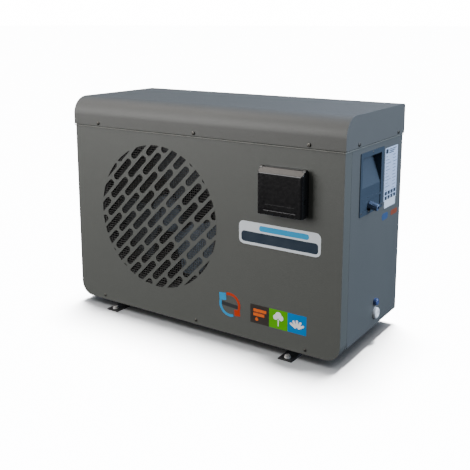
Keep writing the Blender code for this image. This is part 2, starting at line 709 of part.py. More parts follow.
def base_pan():
    """Tray with a raised rim; its sides clear the front panel's rounded lower corners."""
    drop = FRONT_CORNER_RADIUS - (BASE_BOTTOM - FRONT_BOTTOM)
    inner = math.sqrt((FRONT_CORNER_RADIUS - SHEET) ** 2 - max(drop, 0) ** 2)
    side = HALF_WIDTH - FRONT_CORNER_RADIUS + inner - BASE_SIDE_CLEARANCE
    front, rear = SHEET + GAP, REAR_INNER - GAP
    plan = [(-side, front), (side, front), (side, rear), (-side, rear)]
    points = [(x, y, z) for z in (BASE_BOTTOM, BASE_BOTTOM + BASE_RIM) for x, y in plan]
    faces = [(0, 1, 2, 3)] + [(i, (i + 1) % 4, 4 + (i + 1) % 4, 4 + i) for i in range(4)]
    return sheet("base_pan", points, faces, (0, 0, -1), GALVANISED)


def partition(pipe_holes):
    """Wall between the fan side and the compressor side, with its front and rear edges folded."""
    front, rear = SHEET + PARTITION_END_CLEARANCE, REAR_INNER - PARTITION_END_CLEARANCE
    fold = PARTITION_X + PARTITION_FLANGE
    plan = [(fold, front), (PARTITION_X, front), (PARTITION_X, rear), (fold, rear)]
    points = [(x, y, z) for z in (BASE_TOP + GAP, PANEL_TOP) for x, y in plan]
    faces = [(1, 2, 6, 5), (0, 1, 5, 4), (2, 3, 7, 6)]
    item = sheet("partition", points, faces, (-1, 0, 0), GALVANISED)
    for hole in pipe_holes:
        boolean(item, hole)
    return item


# ---- air side ----
def holed_plate(name, outline, holes, front, thickness, finish, location):
    """A flat plate with rectangular openings, as a filled outline with depth."""
    curve = bpy.data.curves.new(name, "CURVE")
    curve.dimensions = "2D"
    curve.fill_mode = "BOTH"
    curve.extrude = thickness / 2
    for loop in (outline, *holes):
        line = curve.splines.new("POLY")
        line.points.add(len(loop) - 1)
        line.use_cyclic_u = True
        for point, (a, b) in zip(line.points, loop):
            point.co = (a, b, 0, 1)
    item = add_object(name, curve, finish, location + Vector((0, front + thickness / 2, 0)))
    item.rotation_euler = (math.pi / 2, 0, 0)
    return item


def cell(left, bottom, width, height):
    return [(left, bottom), (left, bottom + height), (left + width, bottom + height), (left + width, bottom)]


def fan_guard():
    """Round guard behind the slots; its square cells stay inside the rim."""
    radius = GRILLE_RADIUS + GUARD_MARGIN
    outline = arc((0, 0), radius, 0, 360, 40)[:-1]
    pitch = GUARD_CELL + GUARD_WIRE
    count = int(radius / pitch) + 1
    holes = []
    for i in range(-count, count):
        for j in range(-count, count):
            loop = cell(i * pitch + GUARD_WIRE / 2, j * pitch + GUARD_WIRE / 2, GUARD_CELL, GUARD_CELL)
            if max(math.hypot(a, b) for a, b in loop) < radius - GUARD_MARGIN:
                holes.append(loop)
    place = Vector((FAN_X, 0, GRILLE_HEIGHT))
    return holed_plate("fan_guard", outline, holes, GUARD_FRONT, GUARD_THICKNESS, WIRE_BLACK, place)


def coil_guard():
    """Rear guard of upright bars in a frame, held behind the opening's border."""
    low, high = rear_opening()
    left, bottom = low[0] - GUARD_MARGIN, low[1] - GUARD_MARGIN
    right, top = high[0] + GUARD_MARGIN - 0.003, high[1] + GUARD_MARGIN
    width, height = REAR_BAR_CELL
    across = int((right - left - 2 * GUARD_MARGIN) / (width + REAR_BAR_WIRE))
    rows = int((top - bottom - 2 * GUARD_MARGIN) / (height + REAR_BAR_WIRE))
    start_x = (left + right - across * (width + REAR_BAR_WIRE) + REAR_BAR_WIRE) / 2
    start_z = (bottom + top - rows * (height + REAR_BAR_WIRE) + REAR_BAR_WIRE) / 2
    holes = [
        cell(start_x + i * (width + REAR_BAR_WIRE), start_z + j * (height + REAR_BAR_WIRE), width, height)
        for i in range(across)
        for j in range(rows)
    ]
    outline = cell(left, bottom, right - left, top - bottom)
    front = REAR_INNER - GAP - GUARD_THICKNESS
    return holed_plate("coil_guard", outline, holes, front, GUARD_THICKNESS, WIRE_BLACK, Vector((0, 0, 0)))


def evaporator():
    """L-shaped finned block along the left side and the rear."""
    rear = CASE_DEPTH - COIL_FROM_REAR
    left = -HANDLE_INNER + COIL_TO_HANDLE
    end = PARTITION_X - COIL_TO_PARTITION
    centre = (left + COIL_CORNER_RADIUS, rear - COIL_CORNER_RADIUS)
    inner = COIL_CORNER_RADIUS - COIL_THICKNESS
    outline = [(left, COIL_FRONT_END), *arc(centre, COIL_CORNER_RADIUS, 180, 90, 5), (end, rear)]
    outline += [(end, rear - COIL_THICKNESS), *arc(centre, inner, 90, 180, 5)]
    outline += [(left + COIL_THICKNESS, COIL_FRONT_END)]
    top = JOGGLE_START - COIL_TOP_CLEARANCE
    return prism("evaporator_coil", outline, BASE_TOP + GAP, top, along_z, FIN_ALUMINIUM, smooth=True)


def blade_shape(shape, turn):
    """One swept blade as a closed slab, from inside the hub out to the tip circle."""
    radii = [FAN_HUB_RADIUS * 0.9 + (FAN_RADIUS - FAN_HUB_RADIUS * 0.9) * i / 5 for i in range(6)]
    grid = []
    for radius in radii:
        share = (radius - radii[0]) / (radii[-1] - radii[0])
        sweep = BLADE_SWEEP * (0.62 + 0.38 * share)
        advance = BLADE_PITCH * (1.0 - 0.25 * share)
        row = []
        for j in range(5):
            chord = j / 4 - 0.5
            angle = turn + chord * sweep + 0.18 * share
            y = FAN_HUB_LENGTH / 2 + chord * advance
            row.append((radius * math.cos(angle), y, radius * math.sin(angle)))
        grid.append(row)
    half = BLADE_THICKNESS / 2
    layers = [[[shape.verts.new((x, y + s * half, z)) for x, y, z in row] for row in grid] for s in (-1, 1)]
    rim = [(i, 0) for i in range(5)] + [(5, j) for j in range(4)] + [(i, 4) for i in range(5, 0, -1)]
    rim += [(0, j) for j in range(4, 0, -1)]
    for i in range(5):
        for j in range(4):
            for layer in layers:
                shape.faces.new((layer[i][j], layer[i + 1][j], layer[i + 1][j + 1], layer[i][j + 1]))
    for (a, b), (c, d) in zip(rim, rim[1:] + rim[:1]):
        shape.faces.new((layers[0][a][b], layers[0][c][d], layers[1][c][d], layers[1][a][b]))


def fan_rotor():
    bore = SHAFT_RADIUS + GAP
    length = FAN_HUB_LENGTH
    hub = [(bore, 0.004), (0.020, 0), (FAN_HUB_RADIUS - 0.010, 0.004), (FAN_HUB_RADIUS, 0.014)]
    hub += [(FAN_HUB_RADIUS, length), (bore, length)]
    place = (FAN_X, FAN_FROM_FRONT, GRILLE_HEIGHT)
    item = turned("fan_rotor", hub, along_axis_y, FAN_PLASTIC, place, closed=True)
    for i in range(FAN_BLADES):
        shape = bmesh.new()
        blade_shape(shape, FAN_REST_ANGLE + 2 * math.pi * i / FAN_BLADES)
        boolean(item, finish_mesh(f"blade_{i + 1}", shape, None, place), "UNION")
    return item


def fan_shaft():
    place = (FAN_X, FAN_FROM_FRONT + 0.006, GRILLE_HEIGHT)
    return cylinder("fan_shaft", SHAFT_RADIUS, 0, SHAFT_LENGTH, along_axis_y, place, STEEL, SMALL_STEPS)


def fan_motor():
    """Motor with a blind bore for the shaft, open at its front boss."""
    bore = SHAFT_RADIUS + GAP
    boss = MOTOR_BOSS_LENGTH
    end = boss + MOTOR_LENGTH - GAP
    blind = FAN_FROM_FRONT + 0.006 + SHAFT_LENGTH - MOTOR_FRONT + 0.002
    profile = [(0, blind), (bore, blind), (bore, 0), (MOTOR_BOSS_RADIUS, 0), (MOTOR_BOSS_RADIUS, boss)]
    profile += [(MOTOR_RADIUS - 0.006, boss), (MOTOR_RADIUS, boss + 0.006), (MOTOR_RADIUS, end), (0, end)]
    return turned("fan_motor", profile, along_axis_y, MOTOR_GREY, (FAN_X, MOTOR_FRONT, GRILLE_HEIGHT))


def motor_bracket():
    """Upright strap behind the motor, with a foot on the base pan and a hook under the lid."""
    y = MOTOR_REAR
    half = BRACKET_WIDTH / 2
    bottom, top = BASE_TOP + GAP, PANEL_TOP
    points = [
        (FAN_X + side * half, py, pz)
        for py, pz in ((y + BRACKET_FOOT, bottom), (y, bottom), (y, top), (y + BRACKET_FOOT, top))
        for side in (-1, 1)
    ]
    faces = [(2, 3, 5, 4), (0, 1, 3, 2), (4, 5, 7, 6)]
    return sheet("motor_bracket", points, faces, (0, -1, 0), GALVANISED, BRACKET_SHEET)


def fan_shroud():
    inner, outer = SHROUD_RADIUS, SHROUD_RADIUS + SHROUD_WALL
    rim = outer + SHROUD_FLANGE
    profile = [(inner, 0), (rim, 0), (rim, SHROUD_WALL), (outer, SHROUD_WALL), (outer, SHROUD_LENGTH)]
    profile += [(inner, SHROUD_LENGTH)]
    place = (FAN_X, SHROUD_FRONT, GRILLE_HEIGHT)
    return turned("fan_shroud", profile, along_axis_y, BLACK_PLASTIC, place, closed=True, steps=36)


# ---- refrigerant side ----
def compressor():
    """Welded steel pot on a three-cornered foot plate."""
    r, h = COMPRESSOR_RADIUS, COMPRESSOR_HEIGHT
    foot = COMPRESSOR_FOOT_SHEET / 2
    profile = [(0, foot), (r * 0.7, foot), (r, foot + 0.018), (r, h - 0.045), (r * 1.03, h - 0.043)]
    profile += [(r * 1.03, h - 0.038), (r, h - 0.036), (r * 0.93, h - 0.016), (r * 0.6, h - 0.004), (0, h)]
    place = (COMPRESSOR_X, COMPRESSOR_FROM_FRONT, COMPRESSOR_FOOT)
    item = turned("compressor", profile, along_z, COMPRESSOR_BLACK, place)
    reach = COMPRESSOR_FOOT_RADIUS + GROMMET_RADIUS
    outline = []
    for angle in map(math.degrees, grommet_angles()):
        outline += arc((0, 0), reach, angle - FOOT_CORNER_ARC / 2, angle + FOOT_CORNER_ARC / 2, 2)
    plate = prism("compressor_plate", outline, 0, COMPRESSOR_FOOT_SHEET, along_z, None, place)
    boolean(item, plate, "UNION")
    return item


def grommet_angles():
    return [math.radians(angle) for angle in (90, 210, 330)]


def grommets():
    r, h = GROMMET_RADIUS, GROMMET_HEIGHT
    profile = [(0, 0), (r, 0), (r, h * 0.3), (r * 0.75, h * 0.5), (r * 0.9, h * 0.75), (r * 0.9, h), (0, h)]
    for i, angle in enumerate(grommet_angles()):
        x = COMPRESSOR_X + COMPRESSOR_FOOT_RADIUS * math.cos(angle)
        y = COMPRESSOR_FROM_FRONT + COMPRESSOR_FOOT_RADIUS * math.sin(angle)
        place = (x, y, BASE_TOP + GAP)
        turned(f"compressor_grommet_{i + 1}", profile, along_z, RUBBER, place, steps=SMALL_STEPS)


def accumulator():
    r, h = ACCUMULATOR_RADIUS, ACCUMULATOR_HEIGHT
    profile = [(0, 0), (r * 0.6, 0.003), (r, 0.016), (r, h - 0.016), (r * 0.6, h - 0.003), (0, h)]
    place = (ACCUMULATOR_X, ACCUMULATOR_Y, ACCUMULATOR_BOTTOM)
    return turned("suction_accumulator", profile, along_z, COMPRESSOR_BLACK, place, steps=16)


def four_way_valve():
    """Brass valve body along X, with one stub above and three below."""
    r, half = VALVE_RADIUS, VALVE_LENGTH / 2
    cap = half - 0.005
    profile = [(0, -half), (r * 0.8, -half), (r, -cap), (r, cap), (r * 0.8, half), (0, half)]
    place = (VALVE_X, VALVE_Y, VALVE_Z)
    item = turned("four_way_valve", profile, along_axis_x, BRASS, place, steps=16)
    reach = r + VALVE_STUB_LENGTH
    stubs = [("top", 0, 0.002, reach)]
    stubs += [(f"low_{i + 2}", i * VALVE_STUB_PITCH, -reach, -0.002) for i in (-1, 0, 1)]
    for label, x, low, high in stubs:
        at = (VALVE_X + x, VALVE_Y, VALVE_Z)
        stub = cylinder(f"stub_{label}", VALVE_STUB_RADIUS, low, high, along_z, at, steps=8)
        boolean(item, stub, "UNION")
    return item


def refrigerant_pipes():
    high = VALVE_Z + PIPE_START
    low = VALVE_Z - PIPE_START
    left, right = VALVE_X - VALVE_STUB_PITCH, VALVE_X + VALVE_STUB_PITCH
    crest = high + DISCHARGE_RISE
    start = COMPRESSOR_TOP + GAP
    bent_tube(
        "discharge_pipe",
        [
            (COMPRESSOR_X, COMPRESSOR_FROM_FRONT, start),
            (COMPRESSOR_X, COMPRESSOR_FROM_FRONT, crest),
            (VALVE_X, VALVE_Y, crest),
            (VALVE_X, VALVE_Y, high),
        ],
        PIPE_RADIUS,
        COPPER,
    )
    level = (low + COMPRESSOR_TOP) / 2 - 0.002
    bent_tube(
        "suction_pipe",
        [
            (VALVE_X, VALVE_Y, low),
            (VALVE_X, VALVE_Y, level),
            (ACCUMULATOR_X, ACCUMULATOR_Y, level),
            (ACCUMULATOR_X, ACCUMULATOR_Y, ACCUMULATOR_TOP + GAP),
        ],
        PIPE_RADIUS,
        COPPER,
    )
    riser = EXCHANGER_X + EXCHANGER_RADIUS + RISER_FROM_EXCHANGER
    over = EXCHANGER_TOP + GAS_PIPE_RISE
    drop = low - GAS_PIPE_DROP
    gas_port = EXCHANGER_X + GAS_PORT_OFFSET
    bent_tube(
        "exchanger_gas_pipe",
        [
            (left, VALVE_Y, low),
            (left, VALVE_Y, drop),
            (riser, VALVE_Y, drop),
            (riser, VALVE_Y, over),
            (gas_port, EXCHANGER_Y, over),
            (gas_port, EXCHANGER_Y, EXCHANGER_TOP + GAP),
        ],
        PIPE_RADIUS,
        COPPER,
    )
    bent_tube(
        "evaporator_gas_pipe",
        [
            (right, VALVE_Y, low),
            (right, VALVE_Y, GAS_PIPE_Z),
            (right, GAS_PIPE_Y, GAS_PIPE_Z),
            (PARTITION_X - COIL_TO_PARTITION + GAP, GAS_PIPE_Y, GAS_PIPE_Z),
        ],
        PIPE_RADIUS,
        COPPER,
    )
    side = PARTITION_X + LIQUID_PIPE_FROM_PARTITION
    over = EXCHANGER_TOP + LIQUID_PIPE_RISE
    liquid_port = EXCHANGER_X - LIQUID_PORT_OFFSET
    bent_tube(
        "liquid_pipe",
        [
            (liquid_port, EXCHANGER_Y, EXCHANGER_TOP + GAP),
            (liquid_port, EXCHANGER_Y, over),
            (side, EXCHANGER_Y, over),
            (side, EXCHANGER_Y, LIQUID_PIPE_Z),
            (side, LIQUID_PIPE_Y, LIQUID_PIPE_Z),
            (PARTITION_X - COIL_TO_PARTITION + GAP, LIQUID_PIPE_Y, LIQUID_PIPE_Z),
        ],
        LIQUID_PIPE_RADIUS,
        COPPER,
    )


def partition_pipe_holes():
    holes = []
    routes = (
        ("gas", PIPE_RADIUS, GAS_PIPE_Y, GAS_PIPE_Z),
        ("liquid", LIQUID_PIPE_RADIUS, LIQUID_PIPE_Y, LIQUID_PIPE_Z),
    )
    for label, radius, y, z in routes:
        place = (PARTITION_X, y, z)
        opening = radius + PIPE_HOLE_CLEARANCE
        holes.append(small_hole(f"{label}_pipe_hole", opening, along_axis_x, place, SHEET * 3))
    return holes


# ---- water side ----
def exchanger_shell():
    """Closed plastic pot with two side ports and two small holes for the coil's ends."""
    r, wall, h = EXCHANGER_RADIUS, EXCHANGER_WALL, EXCHANGER_HEIGHT
    place = (EXCHANGER_X, EXCHANGER_Y, EXCHANGER_BOTTOM)
    item = cylinder("exchanger_shell", r, 0, h, along_z, place, PVC_GREY)
    boolean(item, cylinder("exchanger_hollow", r - wall, wall, h - wall, along_z, place))
    for label, z in (("inlet", INLET_Z), ("outlet", OUTLET_Z)):
        at = (EXCHANGER_X, EXCHANGER_Y, z)
        port = cylinder(f"{label}_port_cutter", WATER_BORE_RADIUS, r - 0.03, r + 0.01, along_axis_y, at)
        boolean(item, port)
    return item


def titanium_coil():
    """Helical tube inside the exchanger."""
    length = TITANIUM_TURNS * TITANIUM_PITCH
    start = EXCHANGER_BOTTOM + (EXCHANGER_HEIGHT - length) / 2
    route = []
    for i in range(TITANIUM_TURNS * TITANIUM_STEPS + 1):
        angle = 2 * math.pi * i / TITANIUM_STEPS
        z = start + TITANIUM_PITCH * i / TITANIUM_STEPS
        x = EXCHANGER_X + TITANIUM_COIL_RADIUS * math.cos(angle)
        route.append((x, EXCHANGER_Y + TITANIUM_COIL_RADIUS * math.sin(angle), z))
    return tube("titanium_coil", route, TITANIUM_TUBE_RADIUS, TITANIUM, resolution=1)


def water_pipe(name, z):
    """Straight pipe from the exchanger through the rear panel to a threaded union end."""
    start = EXCHANGER_RADIUS - 0.012
    end = WATER_END - EXCHANGER_Y
    thread = end - UNION_THREAD_LENGTH
    r, bore = WATER_PIPE_RADIUS, WATER_BORE_RADIUS
    profile = [(bore, start), (r, start), (r, thread), (UNION_THREAD_RADIUS, thread + 0.003)]
    profile += [(UNION_THREAD_RADIUS, end), (bore, end)]
    item = turned(name, profile, along_axis_y, PVC_GREY, (EXCHANGER_X, EXCHANGER_Y, z), closed=True)
    at = (EXCHANGER_X, EXCHANGER_Y, z)
    saddle = cylinder(f"{name}_saddle", EXCHANGER_RADIUS + GAP, -0.04, 0.04, along_z, at, steps=ROUND_STEPS)
    boolean(item, saddle)
    return item


def union_nut(name, z):
    """Ribbed ring around the pipe's threaded end."""
    inner = UNION_THREAD_RADIUS + GAP
    outline = []
    for i in range(UNION_RIBS * 4):
        raised = i % 4 in (1, 2)
        radius = UNION_NUT_RADIUS if raised else UNION_NUT_RADIUS - UNION_RIB_HEIGHT
        angle = 2 * math.pi * i / (UNION_RIBS * 4)
        outline.append((radius * math.cos(angle), radius * math.sin(angle)))
    place = (EXCHANGER_X, NUT_REAR, z)
    item = prism(name, outline, -UNION_NUT_LENGTH, 0, along_y, BLACK_PLASTIC, place, smooth=True)
    boolean(item, cylinder(f"{name}_bore", inner, -0.04, 0.01, along_axis_y, place))
    return item


def flow_switch():
    width, depth, height = FLOW_SWITCH_SIZE
    y = CASE_DEPTH - FLOW_SWITCH_FROM_REAR
    low = OUTLET_Z + WATER_PIPE_RADIUS + GAP
    return box(
        "flow_switch",
        (EXCHANGER_X - width / 2, y - depth / 2, low),
        (EXCHANGER_X + width / 2, y + depth / 2, low + height),
        BLACK_PLASTIC,
    )


def flow_paddle():
    """Paddle in the outlet's bore, on an axis across the pipe near its top."""
    width, depth, height = PADDLE_SIZE
    place = (EXCHANGER_X, CASE_DEPTH - FLOW_SWITCH_FROM_REAR, OUTLET_Z + PADDLE_AXIS_HEIGHT)
    low = (-width / 2, -depth / 2, PADDLE_ABOVE_AXIS - height)
    return box("flow_paddle", low, (width / 2, depth / 2, PADDLE_ABOVE_AXIS), BLACK_PLASTIC, place)


# ---- electrics ----
def electrical_box():
    left, right = PARTITION_X + BOX_LEFT, HANDLE_INNER - BOX_TO_HANDLE
    top = JOGGLE_START - BOX_BELOW_LID
    bottom = top - BOX_HEIGHT
    rear = BOX_FRONT + BOX_DEPTH
    plan = [(left, BOX_FRONT), (right, BOX_FRONT), (right, rear), (left, rear)]
    points = [(x, y, z) for z in (bottom, top) for x, y in plan]
    faces = [(0, 1, 2, 3)] + [(i, (i + 1) % 4, 4 + (i + 1) % 4, 4 + i) for i in range(4)]
    sheet("electrical_box", points, faces, (0, 0, -1), GALVANISED)
    floor = bottom + SHEET
    width, depth = BOARD_SIZE
    x, y = left + BOARD_INSET, BOX_FRONT + BOARD_INSET
    level = floor + BOARD_STANDOFF
    box("control_board", (x, y, level), (x + width, y + depth, level + BOARD_THICKNESS), BOARD_GREEN)
    across, deep, tall = TERMINAL_SIZE
    x = right - BOARD_INSET - across
    box("terminal_block", (x, y, floor + GAP), (x + across, y + deep, floor + GAP + tall), PVC_GREY)


# ---- controls ----
def control_housing():
    """Shallow black frame on the front panel that carries the display, the keys and the hinge ears."""
    outline = rounded_rectangle(CONTROL_LEFT, CONTROL_BOTTOM, CONTROL_RIGHT, CONTROL_TOP, COVER_CORNER_RADIUS)
    item = prism("control_housing", outline, -HOUSING_DEPTH, -GAP, along_y, BLACK_GLOSS, smooth=True)
    for label, start in (("left", CONTROL_LEFT), ("right", CONTROL_RIGHT - EAR_WIDTH)):
        at = (start, HINGE_Y, HINGE_Z)
        profile = cylinder_profile(EAR_RADIUS, 0, EAR_WIDTH)
        ear = turned(f"{label}_ear", profile, along_axis_x, None, at, steps=SMALL_STEPS)
        boolean(item, ear, "UNION")
    pin_bore = cylinder(
        "pin_bore", HINGE_PIN_RADIUS + GAP, -0.01, CONTROL_WIDTH + 0.01, along_axis_x,
        (CONTROL_LEFT, HINGE_Y, HINGE_Z), steps=8,
    )
    boolean(item, pin_bore)
    width, height = DISPLAY_SIZE
    seat = box(
        "display_seat",
        (CONTROL_MIDDLE - width / 2 - GAP, -HOUSING_DEPTH - 0.001, DISPLAY_Z - height / 2 - GAP),
        (CONTROL_MIDDLE + width / 2 + GAP, -HOUSING_DEPTH + DISPLAY_THICKNESS, DISPLAY_Z + height / 2 + GAP),
    )
    boolean(item, seat)
    for x in key_places():
        name, radius = f"key_well_{len(item.modifiers)}", KEY_RADIUS + KEY_CLEARANCE
        bottom = HOUSING_DEPTH - HOUSING_WALL / 2
        place = (x, -HOUSING_DEPTH, KEY_Z)
        boolean(item, cylinder(name, radius, -0.001, bottom, along_axis_y, place, steps=SMALL_STEPS))
    return item


def key_places():
    return [CONTROL_MIDDLE + (i - (KEY_COUNT - 1) / 2) * KEY_PITCH for i in range(KEY_COUNT)]


def control_display():
    width, height = DISPLAY_SIZE
    rear = -HOUSING_DEPTH + DISPLAY_THICKNESS - GAP
    return box(
        "control_display",
        (CONTROL_MIDDLE - width / 2, rear - DISPLAY_THICKNESS, DISPLAY_Z - height / 2),
        (CONTROL_MIDDLE + width / 2, rear, DISPLAY_Z + height / 2),
        DISPLAY_GREEN,
    )


def keys():
    length = KEY_LENGTH
    r = KEY_RADIUS
    profile = [(0, 0), (r * 0.8, 0), (r, 0.0006), (r, length), (0, length)]
    for name, x in zip(KEY_NAMES, key_places()):
        place = (x, -HOUSING_DEPTH - KEY_STANDOUT, KEY_Z)
        turned(name, profile, along_axis_y, KEY_GREY, place, steps=SMALL_STEPS)


def cover_profile(inset):
    """Side view of the cover, as Y and Z from its hinge axis; inset is the wall for the hollow."""
    bottom = CONTROL_BOTTOM + GAP - HINGE_Z
    front = -CONTROL_DEPTH - HINGE_Y
    shoulder = CONTROL_TOP - COVER_BEVEL_HEIGHT - HINGE_Z
    if inset:
        rear = COVER_KNUCKLE + 0.004
        roof = -COVER_KNUCKLE - 2 * inset
        slope = inset * 0.6
        inner = front + inset
        lower = [(rear, bottom + inset), (inner, bottom + inset), (inner, shoulder - slope)]
        return lower + [(-COVER_ROOF_REACH, roof), (rear, roof)]
    knuckle = arc((0, 0), COVER_KNUCKLE, 90, 0, 4)
    lower = [(COVER_KNUCKLE, bottom), (front + COVER_LIP, bottom), (front, bottom + COVER_LIP)]
    return lower + [(front, shoulder), *knuckle]


def control_cover():
    """Hinged flap over the keys; it turns on the pin at its top."""
    place = (CONTROL_MIDDLE, HINGE_Y, HINGE_Z)
    half = CONTROL_WIDTH / 2
    item = prism("control_cover", cover_profile(0), -half, half, along_x, BLACK_GLOSS, place)
    inner = half - COVER_WALL
    boolean(item, prism("cover_hollow", cover_profile(COVER_WALL), -inner, inner, along_x, None, place))
    clear = EAR_RADIUS + EAR_CLEARANCE
    outside, inside = half + CUT_PAST, half - EAR_WIDTH - GAP
    for label, start, end in (("left", -outside, -inside), ("right", inside, outside)):
        room = cylinder(f"{label}_ear_room", clear, start, end, along_axis_x, place, steps=SMALL_STEPS)
        boolean(item, room)
    bore = cylinder("cover_bore", HINGE_PIN_RADIUS + GAP, -half, half, along_axis_x, place, steps=8)
    boolean(item, bore)
    return item


def cover_hinge_pin():
    place = (CONTROL_LEFT + 0.001, HINGE_Y, HINGE_Z)
    length = CONTROL_WIDTH - 0.002
    return cylinder("cover_hinge_pin", HINGE_PIN_RADIUS, 0, length, along_axis_x, place, STEEL, 8)


# ---- side fittings ----
def handle_hole(side, name):
    """Opening in the side panel for the carry-handle moulding."""
    edge = HANDLE_FLANGE - HANDLE_FLANGE_STEP
    x = side * HALF_WIDTH
    low = (x - CUT_PAST, HANDLE_FROM_FRONT + edge, HANDLE_BOTTOM + edge)
    high = (x + CUT_PAST, HANDLE_REAR - edge, HANDLE_TOP - edge)
    return box(name, low, high)


def carry_handle(name, side, with_gland):
    """Moulded pocket: a sloped finger rest above, a cross ridge, and a flat seat for the gland below."""

    def across(depth, height, along):
        return (side * (HALF_WIDTH + HANDLE_PROUD - depth), along, height)

    flange = HANDLE_PROUD - GAP
    outline = [(0, HANDLE_BOTTOM), (flange, HANDLE_BOTTOM), (flange, HANDLE_TOP), (0, HANDLE_TOP)]
    item = prism(name, outline, HANDLE_FROM_FRONT, HANDLE_REAR, across, RECESS_PLASTIC)
    edge = HANDLE_FLANGE
    root = HANDLE_PROUD / 2
    seat = POCKET_DEPTH + HANDLE_WALL
    slope_foot, deepest = POCKET_TOP - POCKET_SLOPE_LOW, POCKET_TOP - POCKET_ROOF
    tub = [(root, HANDLE_BOTTOM + edge), (seat, HANDLE_BOTTOM + edge), (seat, slope_foot)]
    tub += [(HANDLE_DEPTH, deepest), (HANDLE_DEPTH, HANDLE_TOP - edge), (root, HANDLE_TOP - edge)]
    boolean(item, prism(f"{name}_tub", tub, HANDLE_FROM_FRONT + edge, HANDLE_REAR - edge, across), "UNION")
    ridge = POCKET_TOP - POCKET_RIDGE_LOW
    crest = POCKET_DEPTH - POCKET_RIDGE_HEIGHT
    pocket = [(-CUT_PAST, POCKET_BOTTOM), (POCKET_DEPTH, POCKET_BOTTOM)]
    pocket += [(POCKET_DEPTH, ridge - POCKET_RIDGE_HALF), (crest, ridge)]
    pocket += [(POCKET_DEPTH, ridge + POCKET_RIDGE_HALF), (POCKET_DEPTH, slope_foot)]
    pocket += [(POCKET_HOLD_DEPTH, deepest)]
    pocket += [(POCKET_HOLD_DEPTH, POCKET_TOP), (-CUT_PAST, POCKET_TOP)]
    boolean(item, prism(f"{name}_pocket", pocket, POCKET_FRONT, POCKET_REAR, across))
    if with_gland:
        at = (HALF_WIDTH + HANDLE_PROUD - POCKET_DEPTH, GLAND_FROM_FRONT, GLAND_Z)
        boss = cylinder(f"{name}_boss", GLAND_BOSS_RADIUS, -0.002, GLAND_BOSS_LENGTH, along_axis_x, at)
        boolean(item, boss, "UNION")
        boolean(item, small_hole(f"{name}_cable_hole", GLAND_BORE_RADIUS, along_axis_x, at, HANDLE_DEPTH))
    return item


def cable_gland():
    """Hexagonal gland body on the boss, and its domed nut with the cable's hole."""
    bore = GLAND_BORE_RADIUS
    place = (HALF_WIDTH + GLAND_ROOT, GLAND_FROM_FRONT, GLAND_Z)
    r, length = GLAND_BODY_RADIUS, GLAND_BODY_LENGTH
    body = [(bore, 0), (r, 0), (r, length), (bore, length)]
    turned("cable_gland", body, along_axis_x, BLACK_PLASTIC, place, closed=True, steps=SMALL_STEPS)
    r, length = GLAND_NUT_RADIUS, GLAND_NUT_LENGTH
    dome = [(r, length * 0.6), (r * 0.92, length * 0.85), (r * 0.75, length)]
    nut = [(bore, 0), (r, 0), *dome, (bore, length)]
    place = (HALF_WIDTH + GLAND_NUT_ROOT, GLAND_FROM_FRONT, GLAND_Z)
    turned("gland_nut", nut, along_axis_x, BLACK_PLASTIC, place, closed=True, steps=SMALL_STEPS)


def cap_hole(name, place, radius):
    return small_hole(name, radius, along_axis_x, (HALF_WIDTH, *place))


def side_cap(name, place, radius, length, finish):
    """Screwed cap with a stem through the side panel."""
    stem = radius * 0.5
    profile = [(0, -CAP_STEM), (stem, -CAP_STEM), (stem, GAP), (radius, GAP), (radius, length - 0.0015)]
    profile += [(radius - 0.0015, length), (0, length)]
    return turned(name, profile, along_axis_x, finish, (HALF_WIDTH, *place), steps=20)


# ---- feet and fasteners ----
def foot_rail(name, side):
    """Folded steel rail under the base pan, with a tab at each end."""
    centre = side * FOOT_SPACING / 2
    web, free = centre + side * FOOT_WIDTH / 2, centre - side * FOOT_WIDTH / 2
    top = BASE_BOTTOM - GAP
    web_front = FRONT_FLANGE + FOOT_WEB_INSET
    web_rear = CASE_DEPTH - FOOT_WEB_INSET
    ys = (-FOOT_REACH, web_front, web_rear, CASE_DEPTH + FOOT_REACH)
    points = [(x, y, 0) for y in ys for x in (free, web)]
    points += [(web, web_front, top), (web, web_rear, top), (free, web_front, top), (free, web_rear, top)]
    faces = [(0, 1, 3, 2), (2, 3, 5, 4), (4, 5, 7, 6), (3, 5, 9, 8), (8, 9, 11, 10)]
    item = sheet(name, points, faces, (0, 0, -1), FOOT_BLACK, FOOT_SHEET)
    for label, y in (("front", -FOOT_BOLT_REACH), ("rear", CASE_DEPTH + FOOT_BOLT_REACH)):
        boolean(item, small_hole(f"{name}_{label}_hole", FOOT_HOLE_RADIUS, along_z, (centre, y, 0)))
    return item


def foot_bolt(name, side):
    """Hexagon bolt with its washer on the front tab; its shank stops inside the tab."""
    washer = FOOT_SHEET + GAP
    head = washer + BOLT_WASHER_HEIGHT
    shank = FOOT_HOLE_RADIUS - 0.0008
    top = head + BOLT_HEAD_HEIGHT
    place = (side * FOOT_SPACING / 2, -FOOT_BOLT_REACH, 0)
    rim = BOLT_WASHER_RADIUS
    profile = [(0, GAP), (shank, GAP), (shank, washer), (rim, washer), (rim, head), (0, head)]
    item = turned(name, profile, along_z, BRIGHT_STEEL, place, steps=SMALL_STEPS)
    hexagon = cylinder(f"{name}_head", BOLT_HEAD_RADIUS, head - 0.0004, top, along_z, place, steps=6)
    boolean(item, hexagon, "UNION")
    return item


def lid_screw_places():
    """Name, place on the lid's skirt and outward direction of each screw on the front and right side."""
    front = -LID_OVERHANG
    right = HALF_WIDTH + LID_OVERHANG
    across = (-LID_SCREW_SPACING, 0, LID_SCREW_SPACING)
    places = [(f"lid_screw_front_{i + 1}", (x, front)) for i, x in enumerate(across)]
    places += [(f"lid_screw_right_{i + 1}", (right, y)) for i, y in enumerate(SIDE_SCREW_PLACES)]
    return [(name, (x, y, SCREW_HEIGHT)) for name, (x, y) in places]


def screw_axis(name):
    """Turned pieces point outwards: along -Y on the front, along +X on the right side."""
    if "front" in name:
        return lambda a, b, along: (a, -along, b)
    return along_axis_x


